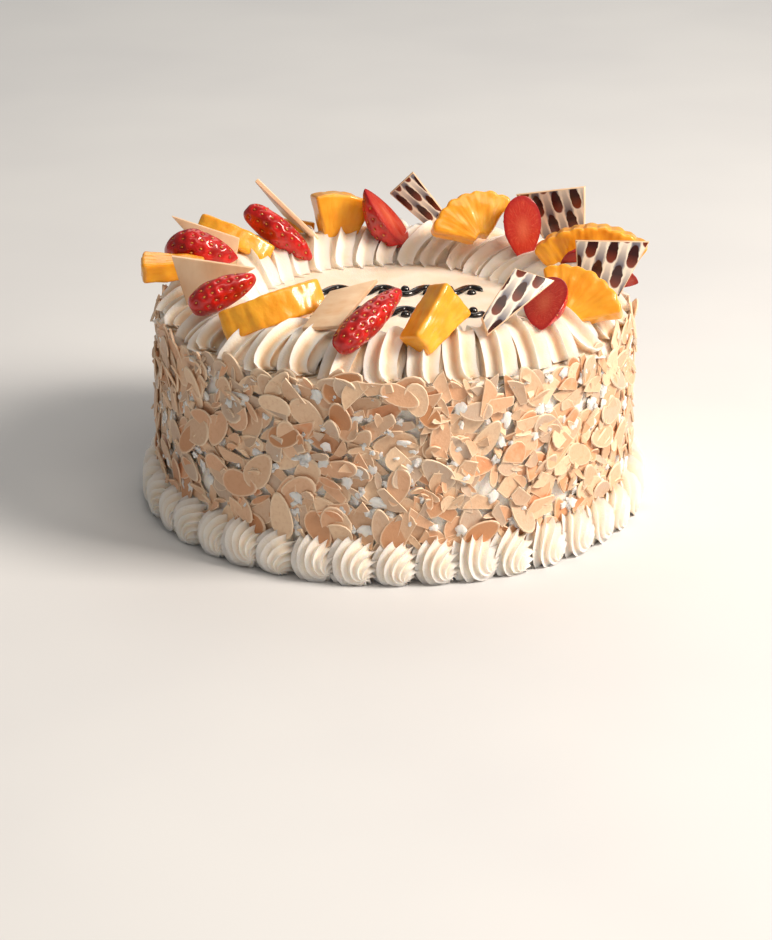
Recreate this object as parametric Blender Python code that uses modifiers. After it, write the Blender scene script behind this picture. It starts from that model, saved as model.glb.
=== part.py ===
"""Round cream birthday cake: flaked almonds on its side, a shell border at its foot, and a piped coil
border on its rim that holds strawberries, pineapple wedges and printed white chocolate plates.

Units are metres with +Z up. The origin is the middle of the underside, and -Y is the front.
"""

import math
import random
from typing import NamedTuple

import bmesh
import bpy
from mathutils import Matrix, Vector

MM = 0.001

# The cake under its cream coat. Its side widens a little towards the foot.
CAKE_HEIGHT = 85.5 * MM
CAKE_TOP_RADIUS = 103 * MM
CAKE_FOOT_RADIUS = 105 * MM
CAKE_EDGE_ROUND = 4 * MM
ROUND_STEPS = 60

# Flaked almonds, pressed into the side between the two borders
FLAKE_ROWS = 5
FLAKES_PER_ROW = 24
FLAKE_SIDES = 6
FLAKE_LENGTHS = (13 * MM, 20 * MM)
FLAKE_WIDTHS = (9 * MM, 12.5 * MM)
FLAKE_THICKNESS = 2.6 * MM
FLAKE_BAND = (28 * MM, 77 * MM)
FLAKE_HIGHEST = 84.6 * MM
FLAKE_LOWEST = 20.5 * MM
FLAKE_TILT = math.radians(9)
FLAKE_PROUD = 0.35 * MM
FLAKE_ROW_JITTER = 2.5 * MM
FLAKE_STEP_JITTER = 0.22

# Piped gel ornament on the top, two wavy lines with a drop in each hollow
GEL_RADIUS = 1.9 * MM
GEL_LIFT = 0.5 * MM
GEL_LINES = (-9 * MM, 21 * MM)
GEL_HALF_LENGTH = 40 * MM
GEL_WAVES = 4
GEL_SWING = 5 * MM
GEL_STEPS_PER_WAVE = 6
GEL_DROP_RADIUS = 2.2 * MM
GEL_DROP_OFFSET = 2.75 * MM

# Coil border on the rim: one turn of the nozzle is one tongue of cream
COIL_TURNS = 36
COIL_STEPS_PER_TURN = 3
COIL_SECTION_STEPS = 11
COIL_CREST_RADIUS = 80 * MM
COIL_INWARD = 23 * MM
COIL_OUTWARD = 27.3 * MM
COIL_HEIGHT = 16.3 * MM
COIL_FRONT_RISE = 3 * MM
COIL_GROOVE = 0.17
COIL_LEAN = math.radians(4.5)

# Shell border round the foot
SHELL_COUNT = 40
SHELL_STEPS = 4
SHELL_HEIGHT = 18 * MM
SHELL_OUTER_RADIUS = 115 * MM
SHELL_DIP = 0.34

# What touches stays this far apart, and what is pressed in has a pocket with a little more room.
GAP = 0.3 * MM
POCKET = 0.7 * MM
MERGE = 0.01 * MM

# Fruit and chocolate
PINE_LOBE = 1.4 * MM
PINE_LOBE_ANGLE = 18
PINE_CORNER = 2 * MM
PLATE_THICKNESS = 2.2 * MM

MESH_SEED = 7


class Finish(NamedTuple):
    """Colour and roughness of one sub-part's surface."""

    name: str
    colour: tuple
    roughness: float


WHIPPED_CREAM = Finish("Whipped cream", (0.88, 0.80, 0.68), 0.55)
PIPED_CREAM = Finish("Piped cream", (0.91, 0.85, 0.75), 0.50)
GLAZED_STRAWBERRY = Finish("Glazed strawberry", (0.62, 0.02, 0.02), 0.22)
GLAZED_PINEAPPLE = Finish("Glazed pineapple", (0.90, 0.42, 0.03), 0.25)
WHITE_CHOCOLATE = Finish("White chocolate", (0.80, 0.66, 0.50), 0.35)


class Berry(NamedTuple):
    """A strawberry half: its cut face's middle, the way its tip points and the way its skin bulges."""

    name: str
    centre: tuple
    tip: tuple
    bulge: tuple
    length: float
    width: float
    depth: float
    taper: float = 0.7


class Wedge(NamedTuple):
    """A piece of pineapple ring: its middle, the way to its outer arc, the way its flat side faces."""

    name: str
    centre: tuple
    out: tuple
    facing: tuple
    angle: float
    thickness: float
    reach: float = 27
    hole: float = 13


class Plate(NamedTuple):
    """A thin chocolate plate, by the corners of its front face."""

    name: str
    corners: tuple


# Places on the cake are in millimetres, read off the photograph for each piece.
BERRIES = (
    Berry("strawberry_left_front", (-73, -44.5, 107), (27, 6, 12), (-0.1, -0.8, 0.5), 31, 13.5, 10, 0.45),
    Berry("strawberry_front", (-11, -82, 107.6), (23, 26, 14), (0.35, -0.75, 0.5), 42, 13, 9, 0.42),
    Berry("strawberry_right_front", (63.5, -57, 106.5), (-4, -32, -15), (0.3, 0.3, -0.6), 32, 20, 8),
    Berry("strawberry_left", (-86, 12, 106.5), (33, 0, -4), (-0.1, -0.55, 0.8), 33, 19, 12),
    Berry("strawberry_left_back", (-53, 55, 102.6), (26, -7, -19), (0.1, -0.75, 0.6), 38, 13, 10, 0.45),
    Berry("strawberry_back", (-3, 71, 106.2), (-19, 0, 24), (-0.78, 0.25, -0.55), 34, 18, 12),
    Berry("strawberry_right_back", (59, 46, 107.4), (2, -8, -28), (-0.25, 0.95, -0.1), 31, 18, 8),
    Berry("strawberry_right", (92, 12, 98), (33, -2, -9), (0.0, 0.75, 0.4), 36, 22, 8),
)
WEDGES = (
    Wedge("pineapple_left", (-97.5, -5, 105.7), (-1, -0.05, 0.02), (0.02, -0.1, 1), 24, 8.5),
    Wedge("pineapple_left_front", (-51.8, -55.4, 102.3), (0.15, -0.88, 0.42), (-0.34, 0.35, 0.86), 76, 13, 24),
    Wedge("pineapple_front", (16, -82, 107), (19, 24, 18), (0.62, -0.72, 0.3), 15, 12, 28, 40),
    Wedge("pineapple_right_front", (79.5, -41.5, 104.4), (0.54, 0.43, 0.73), (-0.15, -0.8, 0.58), 98, 9, 22.5, 4),
    Wedge("pineapple_right", (89, 27, 102.4), (-0.04, 0.1, 1), (-0.1, -1, 0.1), 86, 11, 25),
    Wedge("pineapple_right_back", (35.2, 57.8, 110.3), (-0.38, 0.42, 0.8), (0.1, -0.85, 0.5), 112, 11, 20, 4),
    Wedge("pineapple_back", (-26, 80, 101.2), (0.15, 0.2, 1), (0.3, -0.9, 0.3), 42, 13, 26),
    Wedge("pineapple_left_back", (-73.6, 49.8, 99.6), (0.1, -0.82, 0.56), (0.38, 0.53, 0.7), 60, 9.5, 24),
    Wedge("pineapple_far_back", (-46, 89, 93.8), (-0.42, 0.9, -0.25), (0.1, 0.35, 0.93), 44, 9, 16),
)
PLATES = (
    Plate("plate_left_front", ((-96, -27, 118), (-90, -27, 96), (-60, -27, 112.5))),
    Plate("plate_left", ((-100, 26, 120), (-86, 24, 104), (-72, 23, 96), (-69.5, 25, 109.8))),
    Plate("plate_left_back", ((-63, 62, 127), (-38, 62, 101.5), (-37, 66, 94), (-51, 84, 104))),
    Plate("plate_front", ((-27, -60.5, 112.5), (-38.3, -77.5, 102), (-23, -79, 103), (-7, -58, 117))),
    Plate("plate_back", ((-2, 86, 113), (19, 86, 94), (24, 86, 103.5), (9, 86, 123.5))),
    Plate("plate_right_back", ((57, 71, 117), (70, 66, 97), (88, 58, 100), (88, 60, 124))),
    Plate("plate_right", ((79.5, -4, 118), (80.5, -6, 104), (99, -10, 93.5), (112, -4, 117.5))),
    Plate("plate_right_front", ((50, -62, 123.5), (36, -79, 107.4), (38.4, -83, 101), (67, -62, 118))),
)


def clear_scene():
    """Empties the startup scene."""
    for obj in list(bpy.data.objects):
        bpy.data.objects.remove(obj, do_unlink=True)


def new_collection(name, hidden=False):
    """A collection in the scene. A hidden one holds helpers that don't render."""
    collection = bpy.data.collections.new(name)
    collection.hide_render = hidden
    bpy.context.scene.collection.children.link(collection)
    return collection


def material_for(finish):
    """The Principled material of one finish, made once."""
    known = bpy.data.materials.get(finish.name)
    if known:
        return known
    material = bpy.data.materials.new(finish.name)
    material.use_nodes = True
    shader = material.node_tree.nodes["Principled BSDF"]
    shader.inputs["Base Color"].default_value = (*finish.colour, 1)
    shader.inputs["Roughness"].default_value = finish.roughness
    shader.inputs["Metallic"].default_value = 0
    return material


def object_from(name, bm, collection, finish=None):
    """Turns a bmesh into a named object in a collection."""
    mesh = bpy.data.meshes.new(name)
    bm.to_mesh(mesh)
    bm.free()
    obj = bpy.data.objects.new(name, mesh)
    collection.objects.link(obj)
    if finish:
        mesh.materials.append(material_for(finish))
    return obj


def adopt(obj, name, collection, finish=None):
    """Names an object that an operator made, and moves it to a collection."""
    obj.name = name
    obj.data.name = name
    for holder in list(obj.users_collection):
        holder.objects.unlink(obj)
    collection.objects.link(obj)
    if finish:
        obj.data.materials.append(material_for(finish))
    return obj


def bake_modifiers(obj):
    """Replaces an object's mesh with its evaluated form, and drops the modifiers."""
    bpy.context.view_layer.update()
    graph = bpy.context.evaluated_depsgraph_get()
    baked = bpy.data.meshes.new_from_object(obj.evaluated_get(graph))
    obj.modifiers.clear()
    obj.data = baked


def keep_largest_island(obj):
    """Drops the loose scraps that a Boolean can leave."""
    bm = bmesh.new()
    bm.from_mesh(obj.data)
    left = set(bm.verts)
    islands = []
    while left:
        island = set()
        border = [left.pop()]
        while border:
            vert = border.pop()
            island.add(vert)
            near = {edge.other_vert(vert) for edge in vert.link_edges} & left
            left -= near
            border.extend(near)
        islands.append(island)
    islands.sort(key=len)
    for island in islands[:-1]:
        bmesh.ops.delete(bm, geom=list(island), context="VERTS")
    bm.to_mesh(obj.data)
    bm.free()


def join_all(target, collection):
    """Joins a collection's solids to the target with one union, then removes them."""
    union = target.modifiers.new("Join", "BOOLEAN")
    union.operation = "UNION"
    union.solver = "MANIFOLD"
    union.operand_type = "COLLECTION"
    union.collection = collection
    bake_modifiers(target)
    for obj in list(collection.objects):
        bpy.data.objects.remove(obj, do_unlink=True)
    keep_largest_island(target)


def frame_at(centre, x_way, z_way):
    """A placing matrix: local X along x_way, local Z as near z_way as it can be. Millimetres in."""
    x_axis = Vector(x_way).normalized()
    z_axis = Vector(z_way)
    z_axis = (z_axis - x_axis * z_axis.dot(x_axis)).normalized()
    y_axis = z_axis.cross(x_axis)
    turn = Matrix((x_axis, y_axis, z_axis)).transposed()
    return Matrix.Translation(Vector(centre) * MM) @ turn.to_4x4()


def side_radius(height):
    """Radius of the cream coat at a height on the side."""
    return CAKE_FOOT_RADIUS + (CAKE_TOP_RADIUS - CAKE_FOOT_RADIUS) * height / CAKE_HEIGHT


def turned_cake(collection):
    """The cake and its coat, turned from a profile that runs down the outer side."""
    profile = [(0, CAKE_HEIGHT)]
    middle = CAKE_TOP_RADIUS - CAKE_EDGE_ROUND
    for step in range(4):
        angle = math.radians(30 * step)
        across = middle + CAKE_EDGE_ROUND * math.sin(angle)
        profile.append((across, CAKE_HEIGHT - CAKE_EDGE_ROUND * (1 - math.cos(angle))))
    profile += [(CAKE_FOOT_RADIUS, 0), (0, 0)]
    bm = bmesh.new()
    points = [bm.verts.new((across, 0, height)) for across, height in profile]
    for first, second in zip(points, points[1:]):
        bm.edges.new((first, second))
    mesh = bpy.data.meshes.new("cake_body")
    bm.to_mesh(mesh)
    bm.free()
    cake = bpy.data.objects.new("cake_body", mesh)
    collection.objects.link(cake)
    mesh.materials.append(material_for(WHIPPED_CREAM))
    turn = cake.modifiers.new("Turn", "SCREW")
    turn.steps = ROUND_STEPS
    turn.render_steps = ROUND_STEPS
    turn.use_merge_vertices = True
    turn.merge_threshold = 0.0001
    bake_modifiers(cake)
    return cake


def almond_flake(draw, around, height, collection):
    """One flake: a low oval disc, half sunk in the side, turned and tilted by chance."""
    length = draw.uniform(*FLAKE_LENGTHS)
    width = draw.uniform(*FLAKE_WIDTHS)
    spin = draw.uniform(0, math.pi)
    reach = abs(math.sin(spin)) * length / 2 + abs(math.cos(spin)) * width / 2
    height = min(max(height, FLAKE_LOWEST + reach), FLAKE_HIGHEST - reach)
    bm = bmesh.new()
    bmesh.ops.create_cone(
        bm, cap_ends=True, segments=FLAKE_SIDES, radius1=0.5, radius2=0.46, depth=1
    )
    bmesh.ops.scale(bm, verts=bm.verts, vec=(length, width, FLAKE_THICKNESS))
    tilt = Matrix.Rotation(draw.uniform(-FLAKE_TILT, FLAKE_TILT), 4, "X")
    lift = Matrix.Rotation(draw.uniform(-FLAKE_TILT, FLAKE_TILT), 4, "Y")
    outward = (math.cos(around), math.sin(around), 0)
    radius = side_radius(height) + FLAKE_PROUD
    along = (-math.sin(around), math.cos(around), 0)
    place = frame_at((0, 0, 0), along, outward)
    place.translation = (radius * outward[0], radius * outward[1], height)
    bm.transform(place @ Matrix.Rotation(spin, 4, "Z") @ tilt @ lift)
    object_from("flake", bm, collection)


def almond_flakes(collection):
    """Rows of flakes, every second row half a step on, each moved a little from its place."""
    draw = random.Random(MESH_SEED)
    low, high = FLAKE_BAND
    step = math.tau / FLAKES_PER_ROW
    for row in range(FLAKE_ROWS):
        level = low + (high - low) * row / (FLAKE_ROWS - 1)
        for column in range(FLAKES_PER_ROW):
            around = (column + 0.5 * (row % 2) + draw.uniform(-FLAKE_STEP_JITTER, FLAKE_STEP_JITTER)) * step
            height = level + draw.uniform(-FLAKE_ROW_JITTER, FLAKE_ROW_JITTER)
            almond_flake(draw, around, height, collection)


def gel_line(middle, flip, collection):
    """One wavy line of gel across the top, as a piped tube."""
    curve = bpy.data.curves.new("gel_line", "CURVE")
    curve.dimensions = "3D"
    curve.bevel_depth = GEL_RADIUS
    curve.bevel_resolution = 1
    curve.use_fill_caps = True
    steps = GEL_WAVES * GEL_STEPS_PER_WAVE
    spline = curve.splines.new("POLY")
    spline.points.add(steps)
    for index, point in enumerate(spline.points):
        share = index / steps
        along = GEL_HALF_LENGTH * (2 * share - 1)
        swing = flip * GEL_SWING * math.sin(math.tau * GEL_WAVES * share)
        point.co = (along, middle + swing, CAKE_HEIGHT + GEL_LIFT, 1)
    tube = bpy.data.objects.new("gel_line", curve)
    bpy.context.scene.collection.objects.link(tube)
    bpy.context.view_layer.update()
    graph = bpy.context.evaluated_depsgraph_get()
    bm = bmesh.new()
    bm.from_mesh(bpy.data.meshes.new_from_object(tube.evaluated_get(graph)))
    bmesh.ops.remove_doubles(bm, verts=bm.verts, dist=MERGE)
    bpy.data.objects.remove(tube, do_unlink=True)
    object_from("gel_line", bm, collection)


def gel_drops(middle, flip, collection):
    """A drop of gel in each hollow of a wavy line."""
    for index in range(2 * GEL_WAVES):
        share = (index + 0.5) / (2 * GEL_WAVES)
        side = -flip if index % 2 == 0 else flip
        bm = bmesh.new()
        bmesh.ops.create_uvsphere(bm, u_segments=7, v_segments=4, radius=GEL_DROP_RADIUS)
        along = GEL_HALF_LENGTH * (2 * share - 1)
        where = (along, middle + side * GEL_DROP_OFFSET, CAKE_HEIGHT)
        bmesh.ops.translate(bm, verts=bm.verts, vec=where)
        object_from("gel_drop", bm, collection)


def cake_body(collection):
    """The coated cake with its almonds and its gel ornament, as one solid."""
    helpers = new_collection("Almonds and gel", hidden=True)
    cake = turned_cake(collection)
    almond_flakes(helpers)
    for middle, flip in zip(GEL_LINES, (1, -1)):
        gel_line(middle, flip, helpers)
        gel_drops(middle, flip, helpers)
    join_all(cake, helpers)
    return cake


def coil_border(collection):
    """Cream piped in loops round the rim: a ring whose arched section is cut by leaning grooves."""
    bpy.ops.mesh.primitive_torus_add(
        major_segments=COIL_TURNS * COIL_STEPS_PER_TURN,
        minor_segments=COIL_SECTION_STEPS,
        major_radius=1,
        minor_radius=0.25,
    )
    ring = adopt(bpy.context.object, "top_border", collection, PIPED_CREAM)
    turn_angle = math.tau / COIL_TURNS
    for vertex in ring.data.vertices:
        x, y, z = vertex.co
        around = math.atan2(y, x)
        section = math.atan2(z, math.hypot(x, y) - 1)
        phase = (around / turn_angle) % 1
        groove = max(0.0, math.cos(math.tau * phase)) ** 2
        fullness = 1 - COIL_GROOVE * groove
        rise = max(0.0, math.sin(section) + 0.22) / 1.22
        outward = math.cos(section) > 0
        across = abs(math.cos(section)) ** 0.85 * (COIL_OUTWARD if outward else -COIL_INWARD)
        lean = COIL_LEAN * math.sin(section) * (1 if outward else 0.4)
        radius = COIL_CREST_RADIUS + across * (1 - 0.5 * COIL_GROOVE * groove)
        crest = COIL_HEIGHT - COIL_FRONT_RISE * math.sin(around)
        height = CAKE_HEIGHT + GAP + crest * rise ** 0.9 * fullness
        angle = around + lean
        vertex.co = (radius * math.cos(angle), radius * math.sin(angle), height)
    return ring


def shell_border(collection):
    """Shells piped side by side round the foot, as one ring that dips between each two."""
    section = (
        (0.00, 0.00),
        (0.00, 0.55),
        (0.02, 0.92),
        (0.18, 1.00),
        (0.45, 0.94),
        (0.74, 0.72),
        (0.94, 0.38),
        (1.00, 0.12),
        (0.94, 0.00),
        (0.50, 0.00),
    )
    bpy.ops.mesh.primitive_torus_add(
        major_segments=SHELL_COUNT * SHELL_STEPS,
        minor_segments=len(section),
        major_radius=1,
        minor_radius=0.25,
    )
    ring = adopt(bpy.context.object, "foot_border", collection, PIPED_CREAM)
    shell_angle = math.tau / SHELL_COUNT
    for vertex in ring.data.vertices:
        x, y, z = vertex.co
        around = math.atan2(y, x)
        turn = math.atan2(z, math.hypot(x, y) - 1) / math.tau % 1
        # Going round from the torus's outside over its top walks the section backwards.
        across, rise = section[(7 - round(turn * len(section))) % len(section)]
        phase = (around / shell_angle + 0.5) % 1
        dip = SHELL_DIP * max(0.0, math.cos(math.tau * phase)) ** 1.5
        height = SHELL_HEIGHT * rise * (1 - 0.8 * dip)
        inner = side_radius(height) + 2 * GAP
        radius = inner + (SHELL_OUTER_RADIUS - inner) * across * (1 - dip)
        vertex.co = (radius * math.cos(around), radius * math.sin(around), height)
    return ring


def strawberry(berry, collection):
    """A strawberry half: a round fruit, drawn out to its tip, cut flat along its length."""
    bm = bmesh.new()
    bmesh.ops.create_uvsphere(bm, u_segments=12, v_segments=8, radius=1)
    bmesh.ops.rotate(bm, verts=bm.verts, matrix=Matrix.Rotation(math.pi / 2, 3, "Y"))
    for vert in bm.verts:
        share = (vert.co.x + 1) / 2
        girth = math.hypot(vert.co.y, vert.co.z)
        full = (math.sin(math.pi * share ** 0.72) ** berry.taper) if 0 < share < 1 else 0
        scale = full / girth if girth > 1e-6 else 0
        vert.co.y *= scale
        vert.co.z *= scale
    bmesh.ops.scale(
        bm, verts=bm.verts, vec=Vector((berry.length / 2, berry.width / 2, berry.depth)) * MM
    )
    everything = bm.verts[:] + bm.edges[:] + bm.faces[:]
    bmesh.ops.bisect_plane(
        bm, geom=everything, dist=MERGE, plane_co=(0, 0, 0), plane_no=(0, 0, 1),
        clear_inner=True,
    )
    bmesh.ops.remove_doubles(bm, verts=bm.verts, dist=MERGE)
    bmesh.ops.holes_fill(bm, edges=[edge for edge in bm.edges if edge.is_boundary])
    bmesh.ops.recalc_face_normals(bm, faces=bm.faces)
    half = object_from(berry.name, bm, collection, GLAZED_STRAWBERRY)
    half.matrix_world = frame_at(berry.centre, berry.tip, berry.bulge)
    return half


def pineapple(wedge, collection):
    """A piece of a pineapple ring: an outline with a scalloped arc, drawn out to its thickness."""
    half_angle = math.radians(wedge.angle) / 2
    lobes = max(2, round(wedge.angle / PINE_LOBE_ANGLE))
    steps = 3 * lobes
    hole = wedge.hole * MM
    outer = hole + wedge.reach * MM
    middle = (hole + outer) / 2
    outline = []
    for step in range(steps + 1):
        angle = half_angle * (2 * step / steps - 1)
        scallop = PINE_LOBE * (abs(math.sin(math.pi * lobes * step / steps)) - 1)
        corner = PINE_CORNER if step in (0, steps) else 0
        radius = outer + scallop - corner
        outline.append((radius * math.cos(angle) - middle, radius * math.sin(angle)))
    for step in range(4):
        angle = half_angle * (1 - 2 * step / 3)
        outline.append((hole * math.cos(angle) - middle, hole * math.sin(angle)))
    curve = bpy.data.curves.new(wedge.name, "CURVE")
    curve.dimensions = "2D"
    curve.fill_mode = "BOTH"
    curve.extrude = wedge.thickness * MM / 2
    spline = curve.splines.new("POLY")
    spline.points.add(len(outline) - 1)
    for point, (x, y) in zip(spline.points, outline):
        point.co = (x, y, 0, 1)
    spline.use_cyclic_u = True
    return solid_of_curve(curve, wedge.name, frame_at(wedge.centre, wedge.out, wedge.facing),
                          collection, GLAZED_PINEAPPLE)


def chocolate_plate(plate, collection):
    """A thin plate: the outline of its corners, drawn out to its thickness."""
    corners = [Vector(corner) for corner in plate.corners]
    centre = sum(corners, Vector()) / len(corners)
    along = corners[1] - corners[0]
    across = corners[-1] - corners[0]
    place = frame_at(centre, along, along.cross(across))
    to_local = place.inverted()
    curve = bpy.data.curves.new(plate.name, "CURVE")
    curve.dimensions = "2D"
    curve.fill_mode = "BOTH"
    curve.extrude = PLATE_THICKNESS / 2
    spline = curve.splines.new("POLY")
    spline.points.add(len(corners) - 1)
    for point, corner in zip(spline.points, corners):
        local = to_local @ (corner * MM)
        point.co = (local.x, local.y, 0, 1)
    spline.use_cyclic_u = True
    return solid_of_curve(curve, plate.name, place, collection, WHITE_CHOCOLATE)


def solid_of_curve(curve, name, place, collection, finish):
    """Makes a closed mesh object of a drawn-out outline, at its place."""
    outline = bpy.data.objects.new(name + "_outline", curve)
    bpy.context.scene.collection.objects.link(outline)
    bpy.context.view_layer.update()
    graph = bpy.context.evaluated_depsgraph_get()
    bm = bmesh.new()
    bm.from_mesh(bpy.data.meshes.new_from_object(outline.evaluated_get(graph)))
    bmesh.ops.remove_doubles(bm, verts=bm.verts, dist=MERGE)
    bpy.data.objects.remove(outline, do_unlink=True)
    obj = object_from(name, bm, collection, finish)
    obj.matrix_world = place
    return obj


def press_in(cream, toppings):
    """Cuts a pocket with a little room for each topping out of the piped cream."""
    pockets = new_collection("Pockets", hidden=True)
    for topping in toppings:
        pocket = bpy.data.objects.new(topping.name + "_pocket", topping.data.copy())
        pockets.objects.link(pocket)
        pocket.matrix_world = topping.matrix_world
        pocket.display_type = "WIRE"
        bm = bmesh.new()
        bm.from_mesh(pocket.data)
        bm.normal_update()
        for vert in bm.verts:
            vert.co += vert.normal * POCKET
        bm.to_mesh(pocket.data)
        bm.free()
        cut = cream.modifiers.new(topping.name, "BOOLEAN")
        cut.operation = "DIFFERENCE"
        cut.solver = "MANIFOLD"
        cut.object = pocket
    bake_modifiers(cream)
    for pocket in list(pockets.objects):
        bpy.data.objects.remove(pocket, do_unlink=True)
    keep_largest_island(cream)


def main():
    clear_scene()
    collection = new_collection("Birthday cake")
    cake_body(collection)
    shell_border(collection)
    border = coil_border(collection)
    toppings = [strawberry(berry, collection) for berry in BERRIES]
    toppings += [pineapple(wedge, collection) for wedge in WEDGES]
    toppings += [chocolate_plate(plate, collection) for plate in PLATES]
    press_in(border, toppings)


main()
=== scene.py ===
"""Looks of a round cream cake: piped borders, flaked almonds, glazed fruit and white chocolate plates.

Sizes in the classes are millimetres in the cake's own frame.
The origin is under the cake's middle and -Y is the front.
"""
import logging
import math
import random
from dataclasses import dataclass
from enum import Enum
from typing import Any, Callable, Iterable, Optional, Sequence

import bpy
import numpy as np
from mathutils import Matrix, Vector, noise


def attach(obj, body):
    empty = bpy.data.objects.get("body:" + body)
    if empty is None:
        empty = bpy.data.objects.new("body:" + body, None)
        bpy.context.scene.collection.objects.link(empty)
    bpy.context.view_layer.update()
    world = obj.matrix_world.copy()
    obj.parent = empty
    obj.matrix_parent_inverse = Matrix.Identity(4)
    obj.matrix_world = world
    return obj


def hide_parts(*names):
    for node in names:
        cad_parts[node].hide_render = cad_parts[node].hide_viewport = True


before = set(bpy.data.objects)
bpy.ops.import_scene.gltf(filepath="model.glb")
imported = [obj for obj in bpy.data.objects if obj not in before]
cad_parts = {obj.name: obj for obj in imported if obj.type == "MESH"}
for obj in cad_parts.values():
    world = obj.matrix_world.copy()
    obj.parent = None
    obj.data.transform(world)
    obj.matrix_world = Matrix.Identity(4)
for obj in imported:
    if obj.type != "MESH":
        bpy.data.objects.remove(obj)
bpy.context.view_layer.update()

log = logging.getLogger("cake")

MM = 0.001
SIDE_HEIGHT = 85.0
SIDE_SPREAD = 1.2
BODY = "root"
Place = tuple[float, float, float]


class Slot(Enum):
    """The record's material slots."""

    COAT = "cream_coat"
    PIPED = "piped_cream"
    STRAWBERRY = "strawberry"
    PINEAPPLE = "pineapple"
    CHOCOLATE = "white_chocolate"


class Side(Enum):
    """Which way the printed side of a chocolate plate looks."""

    FRONT = -1.0
    BACK = 1.0


def linear(code: str, alpha: float = 1.0) -> tuple[float, float, float, float]:
    """Turns an sRGB hex colour into a linear one.

    Args:
        code: colour such as "#F4ECE2".
        alpha: fourth value.

    Returns:
        Linear red, green, blue and alpha.
    """
    parts = [int(code[i:i + 2], 16) / 255 for i in (1, 3, 5)]
    red, green, blue = [p / 12.92 if p <= 0.04045 else ((p + 0.055) / 1.055) ** 2.4 for p in parts]
    return red, green, blue, alpha


def add_node(tree: bpy.types.NodeTree, kind: str, inputs: Optional[dict] = None, output: Any = 0,
             **settings: Any) -> Any:
    """Adds a shader node with its settings, its values and its links.

    Args:
        tree: node tree of the material.
        kind: node type name, without its common start.
        inputs: value or output socket for each input, by name or number.
        output: name or number of the output that is wanted, or None for the node itself.
        settings: attributes of the node.

    Returns:
        The wanted output socket, or the node.
    """
    node = tree.nodes.new("ShaderNode" + kind)
    for name, value in settings.items():
        setattr(node, name, value)
    for name, value in (inputs or {}).items():
        if isinstance(value, bpy.types.NodeSocket):
            tree.links.new(value, node.inputs[name])
        else:
            node.inputs[name].default_value = value
    return node if output is None else node.outputs[output]


@dataclass(frozen=True)
class Finish:
    """A material's name and the values set on its shader."""

    name: str
    roughness: float = 0.5
    ior: float = 1.45
    subsurface: float = 0.0
    subsurface_mm: float = 1.0
    subsurface_tint: Place = (1.0, 0.6, 0.35)
    coat: float = 0.0
    coat_roughness: float = 0.05
    specular: float = 0.5

    def start(self) -> tuple[bpy.types.Material, bpy.types.NodeTree, bpy.types.Node]:
        """Starts the material.

        Returns:
            The material, its node tree and its shader node.
        """
        material = bpy.data.materials.new(self.name)
        material.use_nodes = True
        tree = material.node_tree
        tree.nodes.clear()
        shader = add_node(tree, "BsdfPrincipled", {
            "Roughness": self.roughness, "IOR": self.ior, "Specular IOR Level": self.specular,
            "Coat Weight": self.coat, "Coat Roughness": self.coat_roughness,
            "Subsurface Weight": self.subsurface, "Subsurface Scale": self.subsurface_mm * MM,
            "Subsurface Radius": self.subsurface_tint}, None)
        add_node(tree, "OutputMaterial", {"Surface": shader.outputs[0]}, None)
        return material, tree, shader

    def patches(self, tree: bpy.types.NodeTree, size: float, low: float, high: float, start: float = 0.0,
                end: float = 1.0, detail: float = 3.0) -> bpy.types.NodeSocket:
        """Spreads soft patches over a piece.

        Args:
            tree: node tree of the material.
            size: size of a patch in millimetres.
            low: noise value that becomes start.
            high: noise value that becomes end.
            start: value outside the patches.
            end: value inside them.
            detail: number of finer layers.

        Returns:
            The patches' socket.
        """
        place = add_node(tree, "TexCoord", output="Object")
        lumps = add_node(tree, "TexNoise", {"Vector": place, "Scale": 1 / (size * MM), "Detail": detail,
                                            "Roughness": 0.55})
        return self.ranged(tree, lumps, low, high, start, end, interpolation_type="SMOOTHSTEP")

    def ranged(self, tree: bpy.types.NodeTree, value: Any, low: float, high: float, start: float = 0.0,
               end: float = 1.0, **settings: Any) -> bpy.types.NodeSocket:
        """Maps a value from one range to another.

        Args:
            tree: node tree of the material.
            value: socket of the value.
            low: value that becomes start.
            high: value that becomes end.
            start: first result.
            end: second result.
            settings: attributes of the node.

        Returns:
            The result's socket.
        """
        inputs = {"Value": value, "From Min": low, "From Max": high, "To Min": start, "To Max": end}
        return add_node(tree, "MapRange", inputs, **settings)

    def math(self, tree: bpy.types.NodeTree, operation: str, *values: Any) -> bpy.types.NodeSocket:
        """Calculates with numbers or sockets.

        Args:
            tree: node tree of the material.
            operation: name of the operation.
            values: its numbers or sockets.

        Returns:
            The result's socket.
        """
        return add_node(tree, "Math", dict(enumerate(values)), operation=operation)

    def blended(self, tree: bpy.types.NodeTree, first: Any,
                *layers: tuple[Any, Any]) -> bpy.types.NodeSocket:
        """Lays colours over one another.

        Args:
            tree: node tree of the material.
            first: hex code or socket of the ground colour.
            layers: how strongly each next colour covers, and the colour.

        Returns:
            The result's socket.
        """
        result = linear(first) if isinstance(first, str) else first
        for share, colour in layers:
            colour = linear(colour) if isinstance(colour, str) else colour
            result = add_node(tree, "Mix", {0: share, 6: result, 7: colour}, 2, data_type="RGBA")
        return result

    def surface(self, tree: bpy.types.NodeTree, shader: bpy.types.Node, colour: Any, height: Any = None,
                depth: float = 0.0) -> None:
        """Links the colour, and lets a height pattern catch the light.

        Args:
            tree: node tree of the material.
            shader: its shader node.
            colour: socket of the colour.
            height: socket of the pattern, from 0 to 1.
            depth: depth of the pattern in millimetres.
        """
        tree.links.new(colour, shader.inputs["Base Color"])
        if height is not None:
            bump = add_node(tree, "Bump", {"Height": height, "Strength": 1.0, "Distance": depth * MM})
            tree.links.new(bump, shader.inputs["Normal"])


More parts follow.
